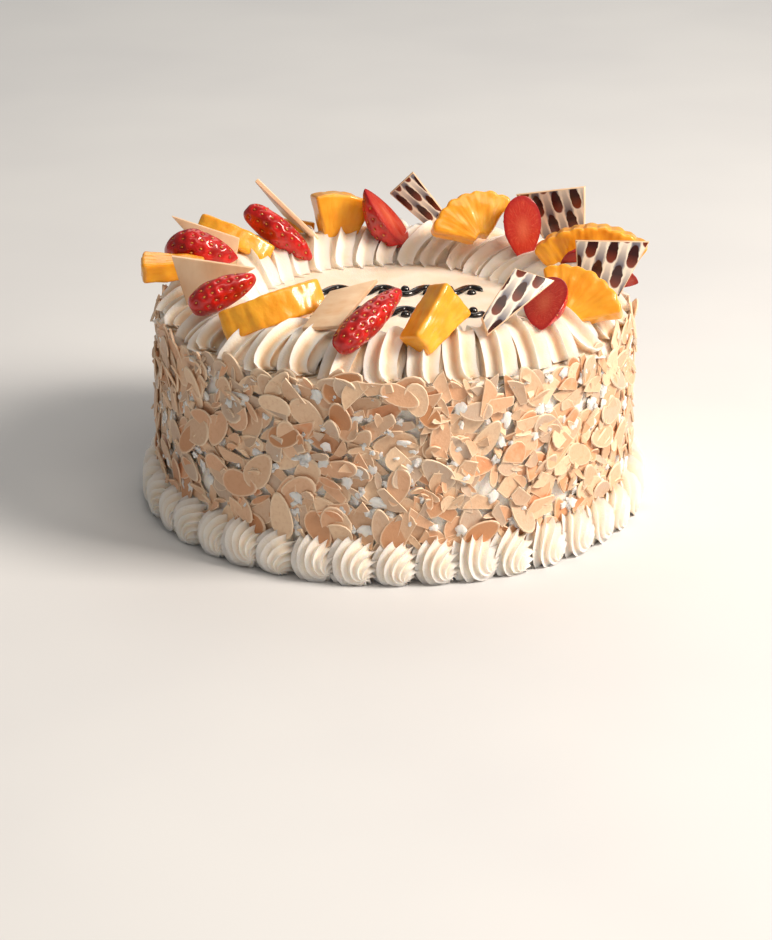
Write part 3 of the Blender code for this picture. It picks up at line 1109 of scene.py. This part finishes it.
@dataclass
class AlmondFlake:
    """One slice of almond, whole or broken, lying flat with its middle at the origin."""

    length: float
    width: float
    thickness: float
    cuts: tuple[tuple[float, float], ...] = ()
    point: float = 0.25
    sides: int = 16
    rim: float = 1.1
    under: float = 0.9
    shoulder: float = 0.95
    dish: float = 0.1
    ring_tones: tuple[float, ...] = (0.4, 1.0, 0.9, 0.0)

    def outline(self) -> np.ndarray:
        """Draws the slice from above, a long oval with one narrower end, less the part broken off.

        Returns:
            The points in metres.
        """
        rows = []
        for step in range(self.sides):
            turn = step / self.sides * 2 * math.pi
            narrow = 1 - self.point * math.cos(turn)
            rows.append(Vector((math.cos(turn) * self.length / 2, math.sin(turn) * self.width / 2 * narrow)))
        for distance, angle in self.cuts:
            way = Vector((math.cos(angle), math.sin(angle)))
            kept = []
            for first, second in zip(rows, rows[1:] + rows[:1]):
                here, there = first.dot(way) - distance, second.dot(way) - distance
                if here <= 0:
                    kept.append(first)
                if here * there < 0:
                    kept.append(first.lerp(second, here / (here - there)))
            rows = kept
        table = np.array([tuple(row) for row in rows])
        return (table - table.mean(0)) * MM

    def build(self) -> bpy.types.Object:
        """Models the slice: the outline is thickened and its face is set in from a rounded rim.

        Returns:
            The object, with the rim attribute on its points.
        """
        rows = self.outline()
        piece = added("almond_flake", bpy.ops.mesh.primitive_circle_add,
                      vertices=len(rows), radius=0.01, fill_type="NGON")
        half = self.thickness / 2 * MM
        set_points(piece, np.column_stack([rows, np.full(len(rows), -half)]))
        only(piece)
        bpy.ops.object.mode_set(mode="EDIT")
        bpy.ops.mesh.select_mode(type="FACE")
        bpy.ops.mesh.select_all(action="SELECT")
        bpy.ops.mesh.extrude_region_move(TRANSFORM_OT_translate={"value": (0, 0, half)})
        bpy.ops.mesh.extrude_region_move(TRANSFORM_OT_translate={"value": (0, 0, half)})
        bpy.ops.mesh.extrude_region_move(TRANSFORM_OT_translate={"value": (0, 0, 0)})
        inner = 1 - 2 * self.rim / self.width
        bpy.ops.transform.resize(value=(inner, inner, 1), center_override=(0, 0, 0))
        bpy.ops.mesh.select_all(action="SELECT")
        bpy.ops.mesh.normals_make_consistent(inside=False)
        bpy.ops.object.mode_set(mode="OBJECT")
        points = points_of(piece)
        count = len(rows)
        points[:count, :2] *= self.under
        points[count * 2:count * 3, :2] *= self.shoulder
        points[count * 3:, 2] -= self.dish * MM
        set_points(piece, points)
        set_attribute(piece, "rim", np.repeat(self.ring_tones, count))
        return piece


@dataclass
class AlmondCoat:
    """Flaked almonds pressed on the side by hand, with cream showing between them."""

    wall: float = 103.9
    bottom: float = 11.0
    top: float = 86.0
    rows: int = 10
    per_row: int = 48
    loose: int = 420
    bits: int = 620
    whole_share: float = 0.42
    settled_share: float = 0.88
    first_lean: float = 0.1
    loose_lean: float = 0.2
    lifted_lean: float = 0.45
    bit_lean: float = 0.6
    seed: int = 21

    def place(self, draw: random.Random, around: float, height: float, layer: float, lean: float) -> Matrix:
        """Lays a slice against the wall, turned at random.

        Args:
            draw: source of the random numbers.
            around: angle round the cake in radians.
            height: height in millimetres.
            layer: distance outside the cream in millimetres.
            lean: largest lean off the wall in radians.

        Returns:
            The slice's frame.
        """
        outward, sideways, up = wall_axes(around)
        place = Matrix((sideways, up, outward)).transposed().to_4x4()
        place.translation = (outward * (self.wall + side_spread(height) + layer) + up * height) * MM
        turn = Matrix.Rotation(draw.uniform(0, 2 * math.pi), 4, "Z")
        tip = Matrix.Rotation(draw.uniform(-lean, lean), 4, "X")
        tip @= Matrix.Rotation(draw.uniform(-lean, lean) * 0.6, 4, "Y")
        size = draw.uniform(0.84, 1.12)
        return place @ tip @ turn @ Matrix.Diagonal((size, size * draw.uniform(0.92, 1.08), 1, 1))

    def scattered(self, draw: random.Random, name: str, shapes: Sequence[bpy.types.Object],
                  places: Sequence[Matrix]) -> bpy.types.Object:
        """Puts a slice of some shape and tone at each place.

        Args:
            draw: source of the random numbers.
            name: name of the joined object.
            shapes: the shapes to choose from.
            places: where the slices go.

        Returns:
            The joined object.
        """
        picks = [draw.randrange(len(shapes)) for _ in places]
        tints = [draw.random() for _ in places]
        return joined_copies(name, shapes, picks, places, {"tint": tints})

    def whole_shapes(self) -> list[bpy.types.Object]:
        """Models the whole slices."""
        return [AlmondFlake(19, 11, 1.0).build(), AlmondFlake(17, 10.5, 1.0, point=0.12).build(),
                AlmondFlake(16, 8.5, 0.9, point=0.3).build(), AlmondFlake(20, 9.5, 1.1, point=0.2).build()]

    def broken_shapes(self) -> list[bpy.types.Object]:
        """Models the broken slices."""
        return [AlmondFlake(18, 11, 1.0, ((0.5, 0.3),)).build(),
                AlmondFlake(18, 11, 1.0, ((2.0, 1.2), (4.0, -2.2))).build(),
                AlmondFlake(17, 12, 0.9, ((-1.0, 0.8),)).build(),
                AlmondFlake(19, 11, 1.0, ((3.0, -0.5), (1.5, 2.4))).build(),
                AlmondFlake(18, 11, 0.9, ((1.0, -1.1), (2.5, 0.4))).build()]

    def bit_shapes(self) -> list[bpy.types.Object]:
        """Models the slivers and bits."""
        return [AlmondFlake(11, 3.2, 0.9, sides=10, rim=0.6).build(),
                AlmondFlake(10, 7.0, 0.9, ((0.5, 0.5), (1.0, 2.4)), sides=10, rim=0.6).build(),
                AlmondFlake(9, 6.5, 1.0, ((0.3, 1.0),), sides=10, rim=0.6).build(),
                AlmondFlake(8, 2.6, 0.8, sides=8, rim=0.4).build()]

    def build(self, nut: bpy.types.Material) -> list[bpy.types.Object]:
        """Covers the side: an even first layer, loose slices over it, then bits.

        Args:
            nut: the almonds' material.

        Returns:
            The finished pieces.
        """
        draw = random.Random(self.seed)
        spots = []
        for row in range(self.rows):
            for step in range(self.per_row):
                around = (step + draw.uniform(-0.4, 0.4) + row % 2 / 2) / self.per_row * 2 * math.pi
                share = (row + draw.uniform(-0.4, 0.4) + 0.5) / self.rows
                height = self.bottom + (self.top - self.bottom) * share
                spots.append((around, height, draw.uniform(0.0, 0.7), self.first_lean))
        for _ in range(self.loose):
            spots.append((draw.uniform(0, 2 * math.pi), draw.uniform(self.bottom + 6, self.top),
                          draw.uniform(0.9, 2.4),
                          self.loose_lean if draw.random() < self.settled_share else self.lifted_lean))
        groups = {"whole": [], "broken": []}
        for spot in spots:
            groups["whole" if draw.random() < self.whole_share else "broken"].append(spot)
        pieces = []
        for kind, shapes in (("whole", self.whole_shapes()), ("broken", self.broken_shapes())):
            places = [self.place(draw, *spot) for spot in groups[kind]]
            pieces.append(self.scattered(draw, f"almond_flakes_{kind}", shapes, places))
        places = [self.place(draw, draw.uniform(0, 2 * math.pi), draw.uniform(self.bottom + 6, self.top + 2),
                             draw.uniform(0.6, 2.4), self.bit_lean) for _ in range(self.bits)]
        pieces.append(self.scattered(draw, "almond_bits", self.bit_shapes(), places))
        return [hand_over(piece, [nut], ["cake_body"], 50) for piece in pieces]


@dataclass
class CreamSpecks:
    """Dabs of cream that squeezed out between the almonds."""

    count: int = 520
    kinds: int = 3
    wall: float = 104.7
    lowest: float = 20.0
    highest: float = 84.0
    seed: int = 31

    def build(self, cream: bpy.types.Material) -> bpy.types.Object:
        """Models one dab and spreads copies of it over the side.

        Args:
            cream: its material.

        Returns:
            The finished piece.
        """
        draw = random.Random(self.seed)
        shapes = []
        for number in range(self.kinds):
            dab = added("cream_dab", bpy.ops.mesh.primitive_ico_sphere_add, subdivisions=2, radius=MM)
            points = points_of(dab)
            points *= (1 + 1.2 * ripple(points, 0.8, number * 5.0))[:, None]
            set_points(dab, points)
            shapes.append(dab)
        places = []
        for _ in range(self.count):
            around = draw.uniform(0, 2 * math.pi)
            outward, _, up = wall_axes(around)
            height = draw.uniform(self.lowest, self.highest)
            out = self.wall + side_spread(height) + draw.uniform(-0.4, 0.9)
            move = Matrix.Translation((outward * out + up * height) * MM)
            turn = Matrix.Rotation(around, 4, "Z") @ Matrix.Rotation(draw.uniform(0, math.pi), 4, "X")
            size = draw.uniform(1.0, 2.6)
            places.append(move @ turn @ Matrix.Diagonal((1.0, size * draw.uniform(0.5, 1.8), size, 1)))
        picks = [draw.randrange(self.kinds) for _ in places]
        piece = joined_copies("cream_specks", shapes, picks, places, {"flute": [0.0] * self.count})
        return hand_over(piece, [cream], ["cake_body"], 60)


@dataclass
class GelOrnament:
    """Wavy lines of black gel with drops beside them, piped on the flat top."""

    radius: float = 1.9
    lift: float = 0.5
    top: float = 85.5
    lines: tuple[tuple[float, float], ...] = ((-9.0, 1.0), (21.0, -1.0))
    half_length: float = 40.0
    waves: int = 4
    swing: float = 5.0
    drop_radius: float = 2.2
    drop_offset: float = 2.75
    drop_lift: float = 0.1
    steps: int = 96
    sides: int = 12

    def build(self, gel: bpy.types.Material) -> bpy.types.Object:
        """Pipes the lines and sets the drops.

        Args:
            gel: its material.

        Returns:
            The finished piece.
        """
        turn = -np.arange(self.sides) / self.sides * 2 * np.pi
        section = np.stack([np.cos(turn), np.sin(turn)], 1) * self.radius * MM
        parts = []
        share = np.linspace(0, 1, self.steps)
        for middle, flip in self.lines:
            along = (share * 2 - 1) * self.half_length
            across = middle + flip * self.swing * np.sin(2 * np.pi * self.waves * share)
            path = np.stack([along, across, np.full(self.steps, self.top + self.lift)], 1) * MM
            swell = 0.92 + 0.1 * np.cos(4 * np.pi * self.waves * share) + 0.04 * ripple(path, 9, middle)
            ends = np.minimum(1, np.sqrt(np.clip(np.minimum(share, 1 - share) / 0.02, 0.05, 1)))
            parts.append(swept("gel_line", path, swell * ends, section, False))
            for number in range(self.waves * 2):
                spot = (number + 0.5) / (self.waves * 2)
                side = -flip if number % 2 == 0 else flip
                centre = Vector(((spot * 2 - 1) * self.half_length, middle + side * self.drop_offset,
                                 self.top + self.drop_lift))
                parts.append(added("gel_drop", bpy.ops.mesh.primitive_uv_sphere_add, segments=20,
                                   ring_count=12, radius=self.drop_radius * MM, location=centre * MM))
                bpy.ops.object.transform_apply(location=True)
        bpy.ops.object.select_all(action="DESELECT")
        for part in parts:
            part.select_set(True)
        bpy.context.view_layer.objects.active = parts[0]
        bpy.ops.object.join()
        piece = newest("black_gel_ornament")
        in_edit_mode(piece, bpy.ops.mesh.remove_doubles)
        return hand_over(piece, [gel], ["cake_body"], 60)


@dataclass
class HalfStrawberry:
    """Half a strawberry, skin out, under glaze."""

    name: str
    centre: Place
    tip: Place
    bulge: Place
    length: float
    width: float
    depth: float
    taper: float = 0.7
    segments: int = 112
    rings: int = 96
    fullness: float = 0.72
    seed_gap: float = 4.5
    seed_span: float = 0.93
    seed_sink: float = 0.32
    dimple: float = 0.8
    dimple_width: float = 1.1
    cut_depth: float = 0.45

    def form(self, along: np.ndarray, cosine: np.ndarray, sine: np.ndarray) -> np.ndarray:
        """Works out places on the fruit in its own frame.

        Args:
            along: share of the way to the tip, from -1 to 1.
            cosine: cosine of the angle round the axis from the cut.
            sine: sine of that angle, positive on the skin.

        Returns:
            The places in metres.
        """
        share = np.clip((along + 1) / 2, 0, 1)
        full = np.clip(np.sin(np.pi * share ** self.fullness), 0, 1) ** self.taper
        high = np.where(sine >= 0, sine * self.depth, sine * self.cut_depth)
        return np.stack([along * self.length / 2, cosine * self.width / 2 * full, high * full], 1) * MM

    def seeds(self, draw: random.Random) -> np.ndarray:
        """Spaces the seeds over the skin in staggered rows.

        Args:
            draw: source of the random numbers.

        Returns:
            Their places in the fruit's own frame, in metres.
        """
        rows = []
        count = max(4, round(self.length * 0.95 / self.seed_gap))
        for row in range(count):
            along = -self.seed_span + 2 * self.seed_span * (row + 0.5) / count
            share = (along + 1) / 2
            full = math.sin(math.pi * share ** self.fullness) ** self.taper
            arc = math.pi * (self.width / 2 + self.depth) / 2 * full
            across = max(1, round(arc / (self.seed_gap * 1.05)))
            for step in range(across):
                stagger = 0.75 if row % 2 else 0.25
                turn = (step + stagger + draw.uniform(-0.1, 0.1)) / across * math.pi
                rows.append((along + draw.uniform(-0.012, 0.012), math.cos(turn), math.sin(turn)))
        table = np.array([r for r in rows if r[2] > 0.12])
        return self.form(table[:, 0], table[:, 1], table[:, 2])

    def build(self, fruit: bpy.types.Material, number: int) -> tuple[bpy.types.Object, list[Matrix]]:
        """Shapes the fruit with a dimple for each seed.

        Args:
            fruit: its material.
            number: moves its lumps.

        Returns:
            The finished piece and the frames of its seeds.
        """
        piece = added(f"glazed_{self.name}", bpy.ops.mesh.primitive_uv_sphere_add,
                      segments=self.segments, ring_count=self.rings, radius=1)
        unit = points_of(piece)
        girth = np.maximum(np.hypot(unit[:, 0], unit[:, 1]), 1e-6)
        cosine, sine = unit[:, 0] / girth, unit[:, 1] / girth
        points = self.form(unit[:, 2], cosine, sine)
        set_points(piece, points)
        facing = normals_of(piece)
        seeds = self.seeds(random.Random(number))
        skin = sine > 0.02
        sunk = np.zeros(len(points))
        frames = []
        place = frame_at(self.centre, self.tip, self.bulge)
        for seed in seeds:
            apart = np.linalg.norm(points - seed, axis=1)
            near = int(apart.argmin())
            sunk -= np.exp(-(apart / (self.dimple_width * MM)) ** 2) * self.dimple
            outward = facing[near]
            along = (1, 0, -outward[0] / max(0.3, outward[2]))
            sunken = tuple(seed / MM - outward * self.seed_sink)
            frames.append(place @ frame_at(sunken, along, tuple(outward)))
        lumps = ripple(points, 8.0, number * 3.0) * 0.6 + ripple(points, 2.5, number * 2.0) * 0.12
        points += facing * ((sunk + lumps) * skin)[:, None] * MM
        set_points(piece, transformed(points, place))
        across = cosine * np.sqrt(np.clip(1 - unit[:, 2] ** 2, 0, 1))
        set_attribute(piece, "cut", np.stack([unit[:, 2], across, (sine < 0.0) * 1.0], 1))
        in_edit_mode(piece, bpy.ops.mesh.normals_make_consistent)
        return hand_over(piece, [fruit], [self.name], 75), frames


@dataclass
class Strawberries:
    """The halves round the top and all their seeds."""

    halves: tuple[HalfStrawberry, ...] = (
        HalfStrawberry("strawberry_left_front", (-73, -44.5, 107), (27, 6, 12),
                       (-0.1, -0.8, 0.5), 31, 13.5, 10, 0.45),
        HalfStrawberry("strawberry_front", (-11, -82, 107.6), (23, 26, 14),
                       (0.35, -0.75, 0.5), 42, 13, 9, 0.42),
        HalfStrawberry("strawberry_right_front", (63.5, -57, 106.5), (-4, -32, -15),
                       (0.3, 0.3, -0.6), 32, 20, 8),
        HalfStrawberry("strawberry_left", (-86, 12, 106.5), (33, 0, -4), (-0.1, -0.55, 0.8), 33, 19, 12),
        HalfStrawberry("strawberry_left_back", (-53, 55, 102.6), (26, -7, -19),
                       (0.1, -0.75, 0.6), 38, 13, 10, 0.45),
        HalfStrawberry("strawberry_back", (-3, 71, 106.2), (-19, 0, 24), (-0.78, 0.25, -0.55), 34, 18, 12),
        HalfStrawberry("strawberry_right_back", (59, 46, 107.4), (2, -8, -28),
                       (-0.25, 0.95, -0.1), 31, 18, 8),
        HalfStrawberry("strawberry_right", (92, 12, 98), (33, -2, -9), (0.0, 0.75, 0.4), 36, 22, 8))
    seed_length: float = 1.25
    seed_width: float = 0.8
    seed_height: float = 0.6

    def build(self, fruit: bpy.types.Material, husk: bpy.types.Material) -> list[bpy.types.Object]:
        """Shapes the halves, then lays one modelled seed in every dimple.

        Args:
            fruit: material of the fruit.
            husk: material of the seeds.

        Returns:
            The finished pieces.
        """
        pieces, frames = [], []
        for number, half in enumerate(self.halves):
            piece, places = half.build(fruit, number)
            pieces.append(piece)
            frames.extend(places)
        seed = added("seed", bpy.ops.mesh.primitive_uv_sphere_add, segments=8, ring_count=5, radius=0.5 * MM)
        points = points_of(seed)
        taper = 1 - 0.35 * points[:, 2] / (0.5 * MM)
        shape = np.stack([points[:, 2] * self.seed_length, points[:, 0] * self.seed_width * taper,
                          points[:, 1] * self.seed_height], 1)
        set_points(seed, shape)
        joined = joined_copies("strawberry_seeds", [seed], [0] * len(frames), frames, {})
        names = [half.name for half in self.halves]
        pieces.append(hand_over(joined, [husk], names, 80))
        return pieces


@dataclass
class PineapplePiece:
    """Part of a tinned pineapple ring."""

    name: str
    centre: Place
    out: Place
    facing: Place
    angle: float
    thickness: float
    reach: float = 27.0
    hole: float = 13.0
    lobe: float = 0.35
    lobe_width: float = 6.5
    lobe_steps: int = 10
    hole_steps: int = 12
    voxel: float = 0.62
    rounding: int = 14
    growth: float = 0.35
    streak_depth: float = 0.3
    lump_depth: float = 0.5

    def outline(self) -> list[tuple[float, float]]:
        """Draws the piece from its flat side: the scalloped outside, then the arc of the core's hole.

        Returns:
            The points in millimetres, about the middle of the piece.
        """
        outer = self.hole + self.reach
        middle = (self.hole + outer) / 2
        lobes = max(2, round(math.radians(self.angle) * outer / self.lobe_width))
        half = math.radians(self.angle / 2)
        rows = []
        count = lobes * self.lobe_steps
        for step in range(count + 1):
            share = step / count
            turn = -half + 2 * half * share
            radius = outer - self.lobe * (1 - abs(math.sin(math.pi * lobes * share)) ** 0.6)
            rows.append((radius * math.cos(turn) - middle, radius * math.sin(turn)))
        for step in range(self.hole_steps + 1):
            turn = half - 2 * half * step / self.hole_steps
            rows.append((self.hole * math.cos(turn) - middle, self.hole * math.sin(turn)))
        return rows

    def build(self, flesh: bpy.types.Material, number: int) -> bpy.types.Object:
        """Cuts the piece, rounds its edges and raises its fibres.

        Args:
            flesh: its material.
            number: moves its lumps.

        Returns:
            The finished piece.
        """
        rows = self.outline()
        piece = added(f"glazed_{self.name}", bpy.ops.mesh.primitive_circle_add,
                      vertices=len(rows), radius=0.01, fill_type="NGON")
        half = self.thickness / 2
        set_points(piece, np.array([(x, y, -half) for x, y in rows]) * MM)
        in_edit_mode(
            piece,
            lambda: bpy.ops.mesh.extrude_region_move(
                TRANSFORM_OT_translate={"value": (0, 0, self.thickness * MM)}),
            lambda: bpy.ops.mesh.select_all(action="SELECT"),
            lambda: bpy.ops.mesh.normals_make_consistent(inside=False))
        only(piece)
        piece.data.remesh_voxel_size = self.voxel * MM
        bpy.ops.object.voxel_remesh()
        smooth = piece.modifiers.new("rounded", "SMOOTH")
        smooth.factor = 0.6
        smooth.iterations = self.rounding
        bpy.ops.object.modifier_apply(modifier="rounded")
        points = points_of(piece)
        facing = normals_of(piece)
        middle = self.hole + self.reach / 2
        away = np.hypot(points[:, 0] + middle * MM, points[:, 1]) / MM
        turn = np.arctan2(points[:, 1], points[:, 0] + middle * MM)
        grain = np.stack([turn * middle, away, points[:, 2] / MM + number * 7.0], 1)
        streak = ripple(grain * np.array([1 / 1.5, 1 / 9.0, 1 / 4.0]) * MM, 1.0, number * 2.0)
        lumps = ripple(points, 6.0, number * 5.0)
        relief = self.growth + streak * self.streak_depth * min(1, self.lobe) + lumps * self.lump_depth
        points += facing * relief[:, None] * MM
        set_attribute(piece, "grain", grain)
        set_points(piece, transformed(points, frame_at(self.centre, self.out, self.facing)))
        return hand_over(piece, [flesh], [self.name], 75)


@dataclass
class PineapplePieces:
    """The pineapple pieces round the top."""

    pieces: tuple[PineapplePiece, ...] = (
        PineapplePiece("pineapple_left", (-97.5, -5, 105.7), (-1, -0.05, 0.02), (0.02, -0.1, 1), 24, 8.5),
        PineapplePiece("pineapple_left_front", (-51.8, -55.4, 102.3), (0.15, -0.88, 0.42),
                       (-0.34, 0.35, 0.86), 76, 13, 24),
        PineapplePiece("pineapple_front", (16, -82, 107), (19, 24, 18), (0.62, -0.72, 0.3), 15, 12, 28, 40),
        PineapplePiece("pineapple_right_front", (79.5, -41.5, 104.4), (0.54, 0.43, 0.73),
                       (-0.15, -0.8, 0.58), 98, 9, 22.5, 4, 1.3),
        PineapplePiece("pineapple_right", (89, 27, 102.4), (-0.04, 0.1, 1),
                       (-0.1, -1, 0.1), 86, 11, 25, 13, 1.1),
        PineapplePiece("pineapple_right_back", (35.2, 57.8, 110.3), (-0.38, 0.42, 0.8),
                       (0.1, -0.85, 0.5), 112, 11, 20, 4, 1.3),
        PineapplePiece("pineapple_back", (-26, 80, 101.2), (0.15, 0.2, 1), (0.3, -0.9, 0.3), 42, 13, 26),
        PineapplePiece("pineapple_left_back", (-73.6, 49.8, 99.6), (0.1, -0.82, 0.56),
                       (0.38, 0.53, 0.7), 60, 9.5, 24),
        PineapplePiece("pineapple_far_back", (-46, 89, 93.8), (-0.42, 0.9, -0.25),
                       (0.1, 0.35, 0.93), 44, 9, 16))

    def build(self, flesh: bpy.types.Material) -> list[bpy.types.Object]:
        """Builds every piece in turn."""
        return [piece.build(flesh, number) for number, piece in enumerate(self.pieces)]


@dataclass
class ChocolatePlate:
    """A broken plate of white chocolate, printed on one side."""

    name: str
    side: Side
    up: Place
    squeeze: float = 1.0
    bevel: float = 0.35
    flatness: float = 0.98

    def build(self, plain: bpy.types.Material, printed: bpy.types.Material) -> bpy.types.Object:
        """Softens the edges of the plate's solid and lays the print on its right side.

        Args:
            plain: material of the back and the edges.
            printed: material of the printed side.

        Returns:
            The finished piece.
        """
        bpy.ops.object.select_all(action="DESELECT")
        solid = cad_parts[self.name]
        piece = bpy.data.objects.new(f"printed_{self.name}", solid.data.copy())
        bpy.context.scene.collection.objects.link(piece)
        in_edit_mode(
            piece,
            lambda: bpy.ops.mesh.remove_doubles(threshold=0.01 * MM),
            lambda: bpy.ops.mesh.dissolve_limited(angle_limit=math.radians(5)),
            lambda: bpy.ops.mesh.normals_make_consistent(inside=False))
        faces = sorted(piece.data.polygons, key=lambda face: -face.area)[:2]
        front = max(faces, key=lambda face: face.normal.y * self.side.value)
        normal = front.normal.copy()
        middle = front.center.copy()
        rise = Vector(self.up)
        rise = (rise - normal * rise.dot(normal)).normalized()
        right = rise.cross(normal)
        only(piece)
        edge = piece.modifiers.new("soft_edge", "BEVEL")
        edge.width = self.bevel * MM
        edge.segments = 2
        edge.limit_method = "ANGLE"
        bpy.ops.object.modifier_apply(modifier="soft_edge")
        offset = points_of(piece) - np.array(middle)
        across = offset @ np.array(right) * self.squeeze
        flat = np.stack([across, offset @ np.array(rise), offset @ np.array(normal)], 1) / MM
        set_attribute(piece, "print", flat)
        hand_over(piece, [plain, printed], [self.name], 30)
        for face in piece.data.polygons:
            face.material_index = int(face.normal.dot(normal) > self.flatness)
        return piece


@dataclass
class ChocolatePlates:
    """The plates that stand round the top."""

    plates: tuple[ChocolatePlate, ...] = (
        ChocolatePlate("plate_left_front", Side.BACK, (0, 0, 1)),
        ChocolatePlate("plate_left", Side.BACK, (0, 0, 1)),
        ChocolatePlate("plate_left_back", Side.BACK, (0, 0, 1)),
        ChocolatePlate("plate_front", Side.BACK, (0, 0, 1)),
        ChocolatePlate("plate_back", Side.FRONT, (-1, 0, 0.95), 1.5),
        ChocolatePlate("plate_right_back", Side.FRONT, (-0.36, 0, 1)),
        ChocolatePlate("plate_right", Side.FRONT, (0.25, 0, 1)),
        ChocolatePlate("plate_right_front", Side.FRONT, (14, 17, 16), 1.15))

    def build(self, plain: bpy.types.Material, printed: bpy.types.Material) -> list[bpy.types.Object]:
        """Builds every plate in turn."""
        return [plate.build(plain, printed) for plate in self.plates]


@dataclass
class Studio:
    """Camera at the photo's angle, pale floor and soft daylight from the right."""

    eye: Place = (-2.0, -1126.0, 465.9)
    aim: Place = (-3.6, 0.0, 7.3)
    lens_mm: float = 102.12
    sensor_mm: float = 36.0
    floor_size: float = 6.0
    lamp_aim: float = 50.0
    sky_strength: float = 0.24

    def lamp(self, name: str, place: Place, size: float, power: float, colour: str) -> None:
        """Hangs a soft square lamp that looks at the cake.

        Args:
            name: name of the lamp.
            place: where it hangs, in metres.
            size: length of its sides in metres.
            power: its power in watts.
            colour: its colour.
        """
        data = bpy.data.lights.new(name, "AREA")
        data.size = size
        data.energy = power
        data.color = linear(colour)[:3]
        made = bpy.data.objects.new(name, data)
        made.location = place
        middle = Vector((0, 0, self.lamp_aim * MM))
        made.rotation_euler = (middle - Vector(place)).to_track_quat("-Z", "Y").to_euler()
        bpy.context.scene.collection.objects.link(made)

    def build(self) -> None:
        """Sets up the camera, the floor, the lamps and the sky's soft light."""
        scene = bpy.context.scene
        data = bpy.data.cameras.new("camera")
        data.lens = self.lens_mm
        data.sensor_width = self.sensor_mm
        data.clip_start = 0.05
        camera = bpy.data.objects.new("camera", data)
        eye = Vector(self.eye) * MM
        camera.location = eye
        camera.rotation_euler = (Vector(self.aim) * MM - eye).to_track_quat("-Z", "Y").to_euler()
        scene.collection.objects.link(camera)
        scene.camera = camera
        floor = added("floor", bpy.ops.mesh.primitive_plane_add, size=self.floor_size, location=(0, 0, 0))
        floor.data.materials.append(PalePaper().build())
        self.lamp("window_right", (1.2, -0.35, 1.05), 0.6, 34.0, "#FFF1E2")
        self.lamp("sky_back", (0.2, 1.3, 1.3), 1.2, 7.0, "#FFF8EE")
        self.lamp("fill_front", (0.5, -0.85, 1.85), 1.0, 8.5, "#FFF1E0")
        world = scene.world or bpy.data.worlds.new("sky")
        scene.world = world
        world.use_nodes = True
        world.node_tree.nodes.clear()
        sky = add_node(world.node_tree, "Background",
                       {"Color": linear("#F0EEEA"), "Strength": self.sky_strength})
        add_node(world.node_tree, "OutputWorld", {"Surface": sky}, None)
        scene.view_settings.view_transform = "Standard"


def main() -> None:
    logging.basicConfig(level=logging.INFO, format="%(message)s")
    bpy.ops.object.select_all(action="DESELECT")
    cream = WhippedCream().build()
    nut = FlakedAlmond().build()
    CreamCoat().build(cream)
    AlmondCoat().build(nut)
    CreamSpecks().build(cream)
    GelOrnament().build(PipingGel().build())
    CoilBorder().build(cream)
    ShellBorder().build(cream)
    Strawberries().build(GlazedStrawberry().build(), StrawberrySeed().build())
    PineapplePieces().build(GlazedPineapple().build())
    ChocolatePlates().build(WhiteChocolate().build(), PrintedChocolate().build())
    Studio().build()


if __name__ == "__main__":
    main()
